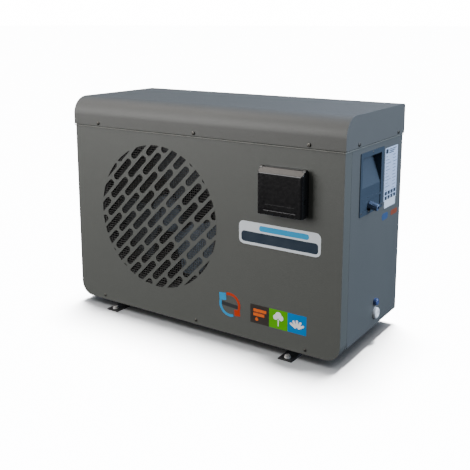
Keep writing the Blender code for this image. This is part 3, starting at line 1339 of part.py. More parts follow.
def lid_screw_holes():
    shape = bmesh.new()
    radius = SCREW_SHANK_RADIUS + SCREW_HOLE_CLEARANCE
    for name, place in lid_screw_places():
        point = screw_axis(name)
        moved = lambda a, b, along: Vector(point(a, b, along)) + Vector(place)
        turn_shape(shape, cylinder_profile(radius, -0.02, 0.01), False, 8, moved)
    return finish_mesh("lid_screw_holes", shape, None)


def lid_screws():
    r, h = SCREW_HEAD_RADIUS, SCREW_HEAD_HEIGHT
    reach = LID_OVERHANG + JOGGLE_IN + SHEET + SCREW_END
    shank = SCREW_SHANK_RADIUS
    dome = [(r * math.cos(math.radians(a)), GAP + h * math.sin(math.radians(a))) for a in (0, 30, 60)]
    profile = [(0, -reach), (shank, -reach), (shank, GAP), *dome, (0, GAP + h)]
    for name, place in lid_screw_places():
        turned(name, profile, screw_axis(name), SCREW_STEEL, place, steps=8)


clear_scene()
ASSEMBLY = bpy.data.objects.new("assembly", None)
bpy.context.scene.collection.objects.link(ASSEMBLY)
ASSEMBLY.location = (-ORIGIN_X, -ORIGIN_Y, 0)

CASE_PAINT = material("case_paint", "#66655E", 0.45)
LID_PAINT = material("lid_paint", "#6C6A66", 0.45)
RECESS_PLASTIC = material("recess_plastic", "#3E4C5E", 0.55)
BLACK_GLOSS = material("black_gloss_plastic", "#17171A", 0.25)
BLACK_PLASTIC = material("black_plastic", "#1B1C1E", 0.55)
WIRE_BLACK = material("black_wire", "#161718", 0.5)
FAN_PLASTIC = material("fan_plastic", "#202224", 0.5)
KEY_GREY = material("key_rubber", "#8E9294", 0.6)
DISPLAY_GREEN = material("display_glass", "#6E8A78", 0.1)
PVC_GREY = material("pvc_grey", "#6F7478", 0.45)
GALVANISED = material("galvanised_steel", "#9A9D9F", 0.4, 0.8)
FIN_ALUMINIUM = material("fin_aluminium", "#B9BCBE", 0.35, 0.9)
MOTOR_GREY = material("motor_paint", "#4A4D50", 0.5)
COMPRESSOR_BLACK = material("compressor_paint", "#141414", 0.4)
COPPER = material("copper", "#B56B45", 0.3, 1.0)
BRASS = material("brass", "#B08D4A", 0.3, 1.0)
TITANIUM = material("titanium", "#8C8A86", 0.35, 1.0)
STEEL = material("steel", "#8F9194", 0.35, 1.0)
BRIGHT_STEEL = material("zinc_plated_steel", "#D5D7D9", 0.25, 1.0)
SCREW_STEEL = material("screw_steel", "#7E7F7D", 0.35, 0.8)
FOOT_BLACK = material("foot_paint", "#1E1F20", 0.55)
RUBBER = material("rubber", "#111111", 0.8)
BOARD_GREEN = material("circuit_board", "#2E5A3A", 0.5)
CAP_BLUE = material("cap_blue", "#4A5F8E", 0.3)
CAP_WHITE = material("cap_white", "#E4E8EA", 0.35)

SCREW_HOLES = lid_screw_holes()
front_panel(SCREW_HOLES)
RIGHT_HOLES = [
    handle_hole(1, "right_handle_hole"),
    SCREW_HOLES,
    cap_hole("port_cap_hole", PORT_CAP_PLACE, PORT_CAP_RADIUS * 0.5 + GAP),
    cap_hole("drain_cap_hole", DRAIN_CAP_PLACE, DRAIN_CAP_RADIUS * 0.5 + GAP),
]
side_panel("right_side_panel", 1, RIGHT_HOLES)
side_panel("left_side_panel", -1, [handle_hole(-1, "left_handle_hole"), air_slot_cutter()])
rear_panel()
lid(SCREW_HOLES)
base_pan()
partition(partition_pipe_holes())

fan_guard()
coil_guard()
evaporator()
fan_rotor()
fan_shaft()
fan_motor()
motor_bracket()
fan_shroud()

compressor()
grommets()
accumulator()
four_way_valve()
refrigerant_pipes()

exchanger_shell()
titanium_coil()
water_pipe("water_inlet_pipe", INLET_Z)
water_pipe("water_outlet_pipe", OUTLET_Z)
union_nut("inlet_union_nut", INLET_Z)
union_nut("outlet_union_nut", OUTLET_Z)
flow_switch()
flow_paddle()

electrical_box()

control_housing()
control_display()
keys()
control_cover()
cover_hinge_pin()

carry_handle("carry_handle_right", 1, True)
carry_handle("carry_handle_left", -1, False)
cable_gland()
side_cap("service_port_cap", PORT_CAP_PLACE, PORT_CAP_RADIUS, PORT_CAP_LENGTH, CAP_BLUE)
side_cap("drain_cap", DRAIN_CAP_PLACE, DRAIN_CAP_RADIUS, DRAIN_CAP_LENGTH, CAP_WHITE)

foot_rail("foot_rail_left", -1)
foot_rail("foot_rail_right", 1)
foot_bolt("foot_bolt_left", -1)
foot_bolt("foot_bolt_right", 1)
lid_screws()
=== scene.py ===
"""Looks of a small pool heat pump: its painted case, fan side, controls, fittings, labels and studio."""

from __future__ import annotations

import logging
import math
from dataclasses import dataclass
from enum import Enum
from typing import Callable, Iterable, Sequence

import bmesh
import bpy
from mathutils import Matrix, Vector


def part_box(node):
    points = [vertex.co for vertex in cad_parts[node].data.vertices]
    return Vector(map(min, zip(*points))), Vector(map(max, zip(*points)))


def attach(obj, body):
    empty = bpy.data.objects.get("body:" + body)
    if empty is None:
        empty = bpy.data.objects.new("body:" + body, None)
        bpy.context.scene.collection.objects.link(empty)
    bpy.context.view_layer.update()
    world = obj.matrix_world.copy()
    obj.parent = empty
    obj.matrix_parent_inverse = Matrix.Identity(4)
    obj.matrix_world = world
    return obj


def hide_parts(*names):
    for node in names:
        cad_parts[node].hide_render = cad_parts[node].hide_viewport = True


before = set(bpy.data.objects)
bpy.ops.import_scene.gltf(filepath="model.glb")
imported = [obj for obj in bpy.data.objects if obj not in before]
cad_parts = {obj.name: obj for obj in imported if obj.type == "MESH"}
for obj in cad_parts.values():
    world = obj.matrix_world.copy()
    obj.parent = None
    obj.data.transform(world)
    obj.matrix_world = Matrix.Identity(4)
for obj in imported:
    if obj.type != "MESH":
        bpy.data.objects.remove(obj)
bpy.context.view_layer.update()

LOG = logging.getLogger("heat_pump")
CASE = "case"
TOUCH = 1e-5  # two places nearer than this are the same
SKIN = 0.0002  # thickness of printed film
PAST = 0.01  # how far a cutting tool reaches past the piece


# ---- finishes ----
def linear(code: str, share: float = 1.0) -> tuple[float, float, float, float]:
    """Turns an sRGB hex colour to linear.

    Args:
        code: the colour, such as "#66655E".
        share: a factor on its brightness.

    Returns:
        Red, green, blue and alpha.
    """
    parts = [int(code[i : i + 2], 16) / 255 for i in (1, 3, 5)]
    red, green, blue = (c / 12.92 if c <= 0.04045 else ((c + 0.055) / 1.055) ** 2.4 for c in parts)
    return (min(red * share, 1.0), min(green * share, 1.0), min(blue * share, 1.0), 1.0)


def add_node(
    tree: bpy.types.NodeTree, kind: str, inputs: dict | None = None, **settings: object
) -> bpy.types.Node:
    """Adds a shader node.

    Args:
        tree: the material's node tree.
        kind: the node's type.
        inputs: by input name or number, a value to set or an output to link.
        **settings: the node's own settings.

    Returns:
        The node.
    """
    node = tree.nodes.new(kind)
    for key, value in settings.items():
        setattr(node, key, value)
    for key, value in (inputs or {}).items():
        if isinstance(value, bpy.types.NodeSocket):
            tree.links.new(value, node.inputs[key])
        else:
            node.inputs[key].default_value = value
    return node


class Grain(Enum):
    """How a surface was made, which sets what its grain looks like."""

    SPRAYED = "fine drops, as powder coat has"
    MOULDED = "the even spark-eroded grain of a plastics mould"
    DRAWN = "lines along the piece from drawing or rolling"
    SPANGLED = "zinc crystals, as on hot-dip galvanised sheet"
    PRINTED = "smooth ink on film"


@dataclass(frozen=True)
class Finish:
    """One material with its surface, as sizes in millimetres and shares from 0 to 1."""

    name: str
    slot: str
    colour: str
    roughness: float
    grain: Grain
    grain_mm: float = 2.0
    relief: float = 0.08
    mottle: float = 0.06
    mottle_mm: float = 70.0
    metallic: float = 0.0
    ior: float = 1.5
    coat: float = 0.0
    coat_roughness: float = 0.12
    along: tuple[float, float, float] = (1.0, 1.0, 1.0)

    def make(self) -> bpy.types.Material:
        """Builds the material, or returns the one built before.

        Returns:
            The material, or the one built before under the same name.
        """
        made = bpy.data.materials.get(self.name)
        if made:
            return made
        made = bpy.data.materials.new(self.name)
        made.use_nodes = True
        tree = made.node_tree
        shader = tree.nodes["Principled BSDF"]
        shader.inputs["Metallic"].default_value = self.metallic
        if not self.metallic:
            shader.inputs["IOR"].default_value = self.ior
        shader.inputs["Coat Weight"].default_value = self.coat
        shader.inputs["Coat Roughness"].default_value = self.coat_roughness
        place = add_node(tree, "ShaderNodeTexCoord").outputs["Object"]
        cloud = self.cloud(tree, place)
        dark, bright = linear(self.colour, 1 - self.mottle), linear(self.colour, 1 + self.mottle)
        colour = add_node(
            tree, "ShaderNodeMix", {0: cloud, 6: dark, 7: bright}, data_type="RGBA", clamp_factor=True
        ).outputs[2]
        tree.links.new(colour, shader.inputs["Base Color"])
        relief = self.surface(tree, place)
        smoothest, roughest = self.roughness * 0.9, min(self.roughness * 1.12, 1.0)
        spread = {0: relief, 1: 0.3, 2: 0.7, 3: smoothest, 4: roughest}
        rough = add_node(tree, "ShaderNodeMapRange", spread).outputs[0]
        tree.links.new(rough, shader.inputs["Roughness"])
        bump = {"Height": relief, "Strength": self.relief, "Distance": self.grain_mm / 1000}
        tree.links.new(add_node(tree, "ShaderNodeBump", bump).outputs[0], shader.inputs["Normal"])
        return made

    def cloud(self, tree: bpy.types.NodeTree, place: bpy.types.NodeSocket) -> bpy.types.NodeSocket:
        """The slow change of tone over the surface, as a socket from 0 to 1."""
        wide = {"Vector": place, "Scale": 1000 / self.mottle_mm, "Detail": 4.0, "Roughness": 0.6}
        return add_node(tree, "ShaderNodeTexNoise", wide).outputs["Fac"]

    def surface(self, tree: bpy.types.NodeTree, place: bpy.types.NodeSocket) -> bpy.types.NodeSocket:
        """The grain's height, as a socket from 0 to 1.

        Args:
            tree: the material's node tree.
            place: the socket with the place on the piece.

        Returns:
            The socket.
        """
        scale = 1000 / self.grain_mm
        if self.grain is Grain.DRAWN:
            place = add_node(tree, "ShaderNodeMapping", {"Vector": place, "Scale": self.along}).outputs[0]
        if self.grain is Grain.SPANGLED:
            cells = add_node(tree, "ShaderNodeTexVoronoi", {"Vector": place, "Scale": scale})
            return add_node(tree, "ShaderNodeSeparateColor", {0: cells.outputs["Color"]}).outputs[0]
        if self.grain is Grain.MOULDED:
            cells = add_node(tree, "ShaderNodeTexVoronoi", {"Vector": place, "Scale": scale})
            return cells.outputs["Distance"]
        detail = 0.0 if self.grain is Grain.PRINTED else 3.0
        fine = {"Vector": place, "Scale": scale, "Detail": detail}
        return add_node(tree, "ShaderNodeTexNoise", fine).outputs["Fac"]


# Polyester powder coat on steel: satin, with a fine orange peel, drawn coarser than its real 1 mm to show.
CASE_PAINT = Finish("grey_powder_coat", "case_paint", "#595B58", 0.46, Grain.SPRAYED, 3.0, 0.10, 0.05, 90)
# The same coat, lighter along the fold under the lid: a painted highlight where the fold catches the light.
HIGHLIGHT_PAINT = Finish("rubbed_powder_coat", "case_paint", "#70716C", 0.4, Grain.SPRAYED, 2.5, 0.03, 0.06, 40)
# The lid, the sides and the feet are sprayed the same way, each a little off in tone.
LID_PAINT = Finish("lid_powder_coat", "lid_paint", "#5A5B59", 0.5, Grain.SPRAYED, 3.0, 0.10, 0.05, 90)
SIDE_PAINT = Finish("side_powder_coat", "case_paint", "#595B5A", 0.46, Grain.SPRAYED, 3.0, 0.10, 0.05, 90)
FOOT_PAINT = Finish("black_powder_coat", "foot_paint", "#1C1D1E", 0.5, Grain.SPRAYED, 3.0, 0.10, 0.08, 30)
# Baked enamel: harder and smoother than powder coat.
POT_PAINT = Finish(
    "black_baked_enamel", "compressor_paint", "#151617", 0.32, Grain.SPRAYED, 4.0, 0.06, 0.1, 50
)
MOTOR_PAINT = Finish("grey_baked_enamel", "motor_paint", "#4A4D50", 0.45, Grain.SPRAYED, 3.0, 0.08, 0.06, 30)
# Injection-moulded ABS: a spark-eroded grain that dulls it.
POCKET_ABS = Finish("blue_grey_abs", "recess_plastic", "#33414F", 0.48, Grain.MOULDED, 1.6, 0.12, 0.07, 40)
# Polished ABS: deep gloss that shows the lights.
GLOSS_ABS = Finish(
    "polished_black_abs", "black_gloss_plastic", "#151517", 0.24, Grain.PRINTED, 8.0, 0.01, 0.1, 60, coat=0.3
)
# Other moulded plastics: nylon is waxy, polypropylene is dull and PVC is even and smooth.
GLAND_NYLON = Finish("slate_nylon", "black_plastic", "#5A6C88", 0.3, Grain.MOULDED, 1.2, 0.06, 0.06, 25)
BLACK_PP = Finish("black_polypropylene", "black_plastic", "#161718", 0.5, Grain.MOULDED, 1.2, 0.12, 0.08, 25)
FAN_PP = Finish(
    "grey_glass_filled_polypropylene", "fan_plastic", "#343B41", 0.6, Grain.MOULDED, 2.0, 0.02, 0.08, 60
)
GREY_PVC = Finish("grey_pvc", "pvc_grey", "#6A6F74", 0.38, Grain.MOULDED, 1.5, 0.05, 0.05, 40)
# Vinyl-coated steel wire: black and slightly shiny.
COATED_WIRE = Finish("vinyl_coated_wire", "black_wire", "#1A1B1D", 0.42, Grain.SPRAYED, 2.0, 0.05, 0.1, 20)
# The same coating on the fan's mesh, dusted grey.
DUSTED_WIRE = Finish(
    "dusted_vinyl_coated_wire", "black_wire", "#3A3A39", 0.6, Grain.SPRAYED, 2.0, 0.05, 0.12, 20
)
# Hot-dip galvanised sheet: dull grey, with zinc crystals about 9 mm wide.
GALVANISED = Finish(
    "galvanised_sheet", "galvanised_steel", "#A6A9AB", 0.38, Grain.SPANGLED, 9.0, 0.03, 0.08, 30, metallic=1.0
)
# Rolled aluminium: bright, with lines along each fin.
FIN_STOCK = Finish(
    "aluminium_fin_stock", "fin_aluminium", "#C4C7C9", 0.34, Grain.DRAWN, 6.0, 0.1, 0.1, 40, metallic=1.0,
    along=(1.0, 1.0, 0.1),
)
# Drawn, turned and ground metals: soft bright lines along the piece.
COPPER = Finish("drawn_copper", "copper", "#B46A45", 0.3, Grain.DRAWN, 4.0, 0.05, 0.18, 30, metallic=1.0)
BRASS = Finish("turned_brass", "brass", "#B1904E", 0.28, Grain.DRAWN, 3.0, 0.05, 0.1, 20, metallic=1.0)
TITANIUM = Finish(
    "drawn_titanium", "titanium", "#8E8B86", 0.35, Grain.DRAWN, 4.0, 0.05, 0.1, 30, metallic=1.0
)
STEEL = Finish("ground_steel", "steel", "#9A9C9F", 0.32, Grain.DRAWN, 2.0, 0.08, 0.06, 20, metallic=1.0)
# Zinc plate: bright on the foot bolts, dulled by weather on the case screws.
ZINC = Finish(
    "bright_zinc_plate", "zinc_plated_steel", "#F4F4F2", 0.45, Grain.DRAWN, 2.0, 0.05, 0.06, 10, metallic=1.0
)
SCREW_ZINC = Finish(
    "dulled_zinc_plate", "screw_steel", "#62605C", 0.4, Grain.DRAWN, 2.0, 0.05, 0.1, 10, metallic=1.0
)
# Rubbers: black and dull under the compressor, pale and soft on the keys.
RUBBER = Finish("nitrile_rubber", "rubber", "#121212", 0.75, Grain.MOULDED, 1.0, 0.1, 0.1, 10)
KEY_RUBBER = Finish("silicone_rubber", "key_rubber", "#9DA1A3", 0.6, Grain.MOULDED, 0.8, 0.06, 0.05, 10)
# Solder mask: a smooth green film.
BOARD = Finish("solder_mask", "circuit_board", "#2E5A3A", 0.4, Grain.PRINTED, 6.0, 0.05, 0.1, 12)
# Tinted acrylic: glossy and grey-green.
DISPLAY = Finish("tinted_acrylic", "display_glass", "#5E7A6C", 0.08, Grain.PRINTED, 20.0, 0.0, 0.05, 40)
# Shiny moulded polypropylene caps.
BLUE_CAP = Finish("blue_polypropylene", "cap_blue", "#4A5C8E", 0.12, Grain.MOULDED, 2.0, 0.03, 0.08, 10)
WHITE_CAP = Finish("white_polypropylene", "cap_white", "#FBFCFD", 0.25, Grain.MOULDED, 2.0, 0.03, 0.04, 10)


def ink(name: str, colour: str, roughness: float = 0.35) -> Finish:
    """Screen ink on vinyl film: even and smooth, with a soft gloss."""
    return Finish(name, "cap_white", colour, roughness, Grain.PRINTED, 30.0, 0.01, 0.02, 60)


# ---- modelling ----
class Pick(Enum):
    """What edit mode selects, with the name of the mesh's list."""

    VERT = "verts"
    EDGE = "edges"
    FACE = "faces"


def deselect() -> None:
    """Leaves nothing selected."""
    bpy.ops.object.select_all(action="DESELECT")


def focus(piece: bpy.types.Object) -> None:
    """Selects one object alone and makes it active.

    Args:
        piece: the object.
    """
    deselect()
    piece.select_set(True)
    bpy.context.view_layer.objects.active = piece


def settle(name: str) -> bpy.types.Object:
    """Names the new primitive and puts its place into its mesh.

    Args:
        name: its name.

    Returns:
        The new piece.
    """
    piece = bpy.context.view_layer.objects.active
    bpy.ops.object.transform_apply(location=True, rotation=True, scale=True)
    piece.name = name
    piece.data.name = name
    return piece


def block(name: str, low: Sequence[float], high: Sequence[float]) -> bpy.types.Object:
    """Adds a box between two corners, as the start of a piece.

    Args:
        name: its name.
        low: one corner.
        high: the opposite corner.

    Returns:
        The box.
    """
    low, high = Vector(low), Vector(high)
    deselect()
    bpy.ops.mesh.primitive_cube_add(size=1.0, location=(low + high) / 2, scale=high - low)
    return settle(name)


def bar(
    name: str, radius: float, start: Sequence[float], end: Sequence[float], sides: int = 48
) -> bpy.types.Object:
    """Adds a round bar between two points, as the start of a piece.

    Args:
        name: its name.
        radius: its radius.
        start: the middle of one end.
        end: the middle of the other.
        sides: how many sides its circle has.

    Returns:
        The bar.
    """
    start, end = Vector(start), Vector(end)
    along = end - start
    turn = along.to_track_quat("Z", "Y").to_euler()
    deselect()
    bpy.ops.mesh.primitive_cylinder_add(
        vertices=sides, radius=radius, depth=along.length, location=(start + end) / 2, rotation=turn
    )
    return settle(name)


def middle(part: object) -> Vector:
    """The middle of a face or an edge, or a corner's own place.

    Args:
        part: the face, edge or corner.

    Returns:
        Its middle.
    """
    if isinstance(part, bmesh.types.BMVert):
        return part.co
    return sum((v.co for v in part.verts), Vector()) / len(part.verts)


def at(part: object, x: float | None = None, y: float | None = None, z: float | None = None) -> bool:
    """True if every corner of a face, edge or corner has the coordinates that are given.

    Args:
        part: the face, edge or corner.
        x: the wanted x, if any.
        y: the wanted y, if any.
        z: the wanted z, if any.

    Returns:
        Whether it is there, within TOUCH.
    """
    corners = [part] if isinstance(part, bmesh.types.BMVert) else part.verts
    wanted = [(i, value) for i, value in enumerate((x, y, z)) if value is not None]
    return all(abs(v.co[i] - value) < TOUCH for v in corners for i, value in wanted)


def span(edge: bmesh.types.BMEdge, axis: int) -> float:
    """How far an edge reaches along an axis."""
    return abs(edge.verts[0].co[axis] - edge.verts[1].co[axis])


def about(pivot: Vector, change: Matrix) -> Matrix:
    """A turn or a scale that leaves the pivot where it is."""
    return Matrix.Translation(pivot) @ change @ Matrix.Translation(-pivot)


def centre_of(node: str) -> Vector:
    """The middle of a CAD node's box."""
    return sum(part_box(node), Vector()) / 2


def shape(
    piece: bpy.types.Object, pick: Pick, test: Callable[[object], bool], *steps: Callable[[], object]
) -> None:
    """Runs edit-mode steps on a selection.

    Args:
        piece: the object to shape.
        pick: what is selected.
        test: true for each corner, edge or face that is selected.
        *steps: the operators, in order.
    """
    focus(piece)
    bpy.ops.object.mode_set(mode="EDIT")
    bpy.ops.mesh.select_mode(type=pick.name)
    bpy.ops.mesh.select_all(action="DESELECT")
    mesh = bmesh.from_edit_mesh(piece.data)
    for part in getattr(mesh, pick.value):
        if test(part):
            part.select_set(True)
    mesh.select_flush_mode()
    bmesh.update_edit_mesh(piece.data)
    for step in steps:
        step()
    bpy.ops.object.mode_set(mode="OBJECT")


def bevel(width: float, segments: int = 1) -> Callable[[], object]:
    """A step that rounds the selected edges."""
    return lambda: bpy.ops.mesh.bevel(offset=width, segments=segments, affect="EDGES", clamp_overlap=False)


def inset(thickness: float, depth: float = 0.0, each: bool = False) -> Callable[[], object]:
    """A step that insets the selected faces and moves them along their normals."""
    return lambda: bpy.ops.mesh.inset(thickness=thickness, depth=depth, use_individual=each)


def pull(*move: float) -> Callable[[], object]:
    """A step that extrudes the selected faces by a move."""
    return lambda: bpy.ops.mesh.extrude_region_move(TRANSFORM_OT_translate={"value": move})


def pull_edges(*move: float) -> Callable[[], object]:
    """A step that extrudes the selected edges by a move."""
    return lambda: bpy.ops.mesh.extrude_edges_move(TRANSFORM_OT_translate={"value": move})


def shift(*move: float) -> Callable[[], object]:
    """A step that moves the selection."""
    return lambda: bpy.ops.transform.translate(value=move)


def remove_faces() -> None:
    """A step that deletes the selected faces."""
    bpy.ops.mesh.delete(type="FACE")


def modify(piece: bpy.types.Object, kind: str, **settings: object) -> None:
    """Adds a modifier with its settings and applies it.

    Args:
        piece: the object.
        kind: the modifier's type.
        **settings: its settings.
    """
    focus(piece)
    step = piece.modifiers.new(kind.title(), kind)
    for key, value in settings.items():
        setattr(step, key, value)
    bpy.ops.object.modifier_apply(modifier=step.name)


def combine(piece: bpy.types.Object, tools: Iterable[bpy.types.Object], operation: str) -> None:
    """Cuts, joins or clips a piece with tools, which are then removed.

    Args:
        piece: the object.
        tools: the other shapes.
        operation: what the Boolean does.
    """
    for tool in tools:
        modify(piece, "BOOLEAN", object=tool, operation=operation, solver="EXACT")
        bpy.data.objects.remove(tool)


def cut(piece: bpy.types.Object, *tools: bpy.types.Object) -> None:
    """Takes the tools' shapes out of a piece."""
    combine(piece, tools, "DIFFERENCE")


def unite(piece: bpy.types.Object, *tools: bpy.types.Object) -> None:
    """Adds the tools' shapes to a piece."""
    combine(piece, tools, "UNION")


def join(name: str, pieces: Sequence[bpy.types.Object]) -> bpy.types.Object:
    """Puts several pieces into one object.

    Args:
        name: its name.
        pieces: the pieces.

    Returns:
        The joined piece.
    """
    deselect()
    for piece in pieces:
        piece.select_set(True)
    bpy.context.view_layer.objects.active = pieces[0]
    if len(pieces) > 1:
        bpy.ops.object.join()
    pieces[0].name = name
    return pieces[0]


def copy(piece: bpy.types.Object, name: str, move: Matrix) -> bpy.types.Object:
    """Copies a piece with its own mesh, moved.

    Args:
        piece: the piece to copy.
        name: the copy's name.
        move: where it goes.

    Returns:
        The copy.
    """
    twin = bpy.data.objects.new(name, piece.data.copy())
    bpy.context.scene.collection.objects.link(twin)
    twin.data.transform(move)
    return twin


def soften(piece: bpy.types.Object, width: float, segments: int = 2, angle: float = 38) -> None:
    """Rounds the sharp edges and shades the piece smooth, with its flat faces left flat.

    Args:
        piece: the object.
        width: the width of the rounding.
        segments: how many faces it has.
        angle: the least angle of a sharp edge, in degrees.
    """
    modify(
        piece, "BEVEL", width=width, segments=segments, limit_method="ANGLE", angle_limit=math.radians(angle),
        use_clamp_overlap=True,
    )
    smooth(piece, angle)
    modify(piece, "WEIGHTED_NORMAL", keep_sharp=True)


def smooth(piece: bpy.types.Object, angle: float = 38) -> None:
    """Shades a piece smooth, except across edges sharper than the angle."""
    focus(piece)
    bpy.ops.object.shade_smooth_by_angle(angle=math.radians(angle))


def wall(piece: bpy.types.Object, thickness: float) -> None:
    """Turns a surface into sheet of a thickness, inwards."""
    modify(
        piece, "SOLIDIFY", solidify_mode="NON_MANIFOLD", nonmanifold_thickness_mode="CONSTRAINTS",
        thickness=thickness, offset=-1,
    )


def fit(piece: bpy.types.Object, finish: Finish, body: str = CASE, stands_for: Sequence[str] = ()) -> None:
    """Gives a finished piece its material, its body and the CAD nodes that it stands for.

    Args:
        piece: the object.
        finish: its finish.
        body: the body that it rides.
        stands_for: the CAD nodes that it replaces.
    """
    piece.data.materials.clear()
    piece.data.materials.append(finish.make())
    if stands_for:
        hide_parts(*stands_for)
    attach(piece, body)
    LOG.info("%s: %s, %d faces", piece.name, finish.name, len(piece.data.polygons))


def dress(finish: Finish, *nodes: str) -> None:
    """Gives CAD nodes that stay a material.

    Args:
        finish: the finish.
        *nodes: the nodes' names.
    """
    for node in nodes:
        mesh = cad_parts[node].data
        mesh.materials.clear()
        mesh.materials.append(finish.make())


def slot_tool(name: str, length: float, width: float, deep: float, segments: int) -> bpy.types.Object:
    """A round-ended bar at the origin, long in X, deep in Y and wide in Z, that cuts one slot.

    Args:
        name: its name.
        length: its whole length.
        width: its width.
        deep: how far it reaches each way.
        segments: how many faces round each corner.

    Returns:
        The tool.
    """
    tool = block(name, (-length / 2, -deep, -width / 2), (length / 2, deep, width / 2))
    shape(tool, Pick.EDGE, lambda e: span(e, 1) > deep, bevel(width / 2 - TOUCH, segments))
    return tool


# ---- the case ----
@dataclass
class SheetCase:
    """The painted lid and panels."""

    sheet: float = 0.0012
    roll: float = 0.050
    rear_roll: float = 0.009
    corner: float = 0.040
    lap: float = 0.018
    joggle: float = 0.002
    rise: float = 0.002
    bead: float = 0.0032
    fold: float = 0.0011
    flange_cover: float = 0.006
    pipe_hole: float = 0.027

    def build(self) -> None:
        """Builds every panel."""
        self.lid()
        self.front_panel()
        for side in ("left", "right"):
            self.side_panel(side)
        self.rear_panel()
        self.fold_bead()

    def lid(self) -> None:
        """The lid: a box with a wide front roll, open below."""
        low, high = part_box("lid")
        piece = block("lid_shell", low, high)
        shape(piece, Pick.EDGE, lambda e: at(e, y=low.y, z=high.z), bevel(self.roll, 24))
        shape(piece, Pick.EDGE, lambda e: at(e, y=high.y, z=high.z), bevel(self.rear_roll, 8))
        shape(piece, Pick.FACE, lambda f: at(f, z=low.z), remove_faces)
        wall(piece, self.sheet)
        soften(piece, self.fold, 3)
        for y in Screws.side_places():
            ends = [(low.x + step, y, low.z + Screws.RISE) for step in (-0.004, 0.002)]
            cut(piece, bar("flush_screw_hole", Screws.HOLE, *ends, sides=32))
        fit(piece, LID_PAINT, stands_for=["lid"])

    def step_in(
        self, piece: bpy.types.Object, level: float, sides: Sequence[tuple[int, float, float]]
    ) -> None:
        """Carries a panel's upper edge up and in under the lid.

        Args:
            piece: the panel, as a surface.
            level: the height of its upper edge.
            sides: for each face that steps in, its axis, its place and the way in as 1 or -1.
        """
        shape(piece, Pick.EDGE, lambda e: at(e, z=level), pull_edges(0, 0, self.rise))
        for axis, place, way in sides:
            move = [0.0, 0.0, 0.0]
            move[axis] = way * self.joggle
            shape(
                piece, Pick.VERT,
                lambda v: abs(v.co.z - level - self.rise) < TOUCH and abs(v.co[axis] - place) < TOUCH,
                shift(*move),
            )
        shape(piece, Pick.EDGE, lambda e: at(e, z=level + self.rise), pull_edges(0, 0, self.lap))

    def fold_bead(self) -> None:
        """The rounded bead of the panels' upper fold, just under the lid, round the front and both sides, in
        a lighter coat that paints its highlight.
        """
        low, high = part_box("front_panel")
        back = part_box("right_side_panel")[1].y
        out, sunk, below = self.bead / 2 + 0.0008, 0.0007, 0.0026
        foot = high.z - self.lap - self.rise - below
        top = foot + self.bead
        ring = block("fold_bead", (low.x - out, low.y - out, foot), (high.x + out, back, top))
        shape(
            ring, Pick.EDGE, lambda e: (at(e, z=foot) or at(e, z=top)) and not at(e, y=back),
            bevel(self.bead * 0.46, 4),
        )
        near, far = (low.x + sunk, low.y + sunk, foot - PAST), (high.x - sunk, back + PAST, top + PAST)
        cut(ring, block("room", near, far))
        smooth(ring)
        # Lighter coat: a painted highlight along the fold.
        fit(ring, HIGHLIGHT_PAINT)

    def front_panel(self) -> None:
        """The front panel: a pan with rounded lower corners and a round field of slanted slots."""
        low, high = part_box("front_panel")
        level = high.z - self.lap - self.rise
        piece = block("front_panel_shell", low, (high.x, high.y, level))
        shape(
            piece, Pick.EDGE, lambda e: at(e, x=low.x, z=low.z) or at(e, x=high.x, z=low.z),
            bevel(self.corner, 16),
        )
        shape(piece, Pick.FACE, lambda f: at(f, y=high.y) or at(f, z=level), remove_faces)
        self.step_in(piece, level, [(0, low.x, 1), (0, high.x, -1), (1, low.y, 1)])
        wall(piece, self.sheet)
        cut(piece, Grille().tool(low.y))
        soften(piece, 0.0005, 2)
        fit(piece, CASE_PAINT, stands_for=["front_panel"])

    def side_panel(self, side: str) -> None:
        """A side panel: a flat face with a rear flange and a hole for the carry handle.

        Args:
            side: left or right.
        """
        low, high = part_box(f"{side}_side_panel")
        way = 1 if side == "right" else -1
        outer = high.x if way > 0 else low.x
        level = high.z - self.lap - self.rise
        piece = block(f"{side}_side_shell", low, (high.x, high.y, level))
        shape(piece, Pick.FACE, lambda f: not (at(f, x=outer) or at(f, y=high.y)), remove_faces)
        self.step_in(piece, level, [(0, outer, -way), (1, high.y, -1)])
        wall(piece, self.sheet)
        hole_low, hole_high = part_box(f"carry_handle_{side}")
        edge = self.flange_cover
        near = (outer - PAST, hole_low.y + edge, hole_low.z + edge)
        far = (outer + PAST, hole_high.y - edge, hole_high.z - edge)
        cut(piece, block("handle_hole", near, far))
        if side == "left":
            cut(piece, self.air_slots(low, high, outer, hole_low.z))
        soften(piece, self.fold, 2)
        fit(piece, SIDE_PAINT, stands_for=[f"{side}_side_panel"])

    def air_slots(self, low: Vector, high: Vector, outer: float, top: float) -> bpy.types.Object:
        """The upright air slots in the left side panel, as one tool.

        Args:
            low: the panel's low corner.
            high: its high corner.
            outer: the x of its outer face.
            top: the height that they stay below.

        Returns:
            The tool.
        """
        margin, width, length, across, up = 0.022, 0.006, 0.060, 0.015, 0.072
        lip, flange = 0.0008, 0.020
        ys = (low.y - lip + margin, high.y - flange - margin)
        zs = (low.z + margin, top - margin)
        counts = 1 + int((ys[1] - ys[0] - width) / across), 1 + int((zs[1] - zs[0] - length) / up)
        one = slot_tool("air_slot", length, width, 0.005, 4)
        turn = Matrix.Rotation(math.pi / 2, 4, "Z") @ Matrix.Rotation(math.pi / 2, 4, "Y")
        copies = []
        for i in range(counts[0]):
            for j in range(counts[1]):
                y = sum(ys) / 2 + (i - (counts[0] - 1) / 2) * across
                z = sum(zs) / 2 + (j - (counts[1] - 1) / 2) * up
                copies.append(copy(one, "air_slot_copy", Matrix.Translation((outer, y, z)) @ turn))
        bpy.data.objects.remove(one)
        return join("air_slots", copies)

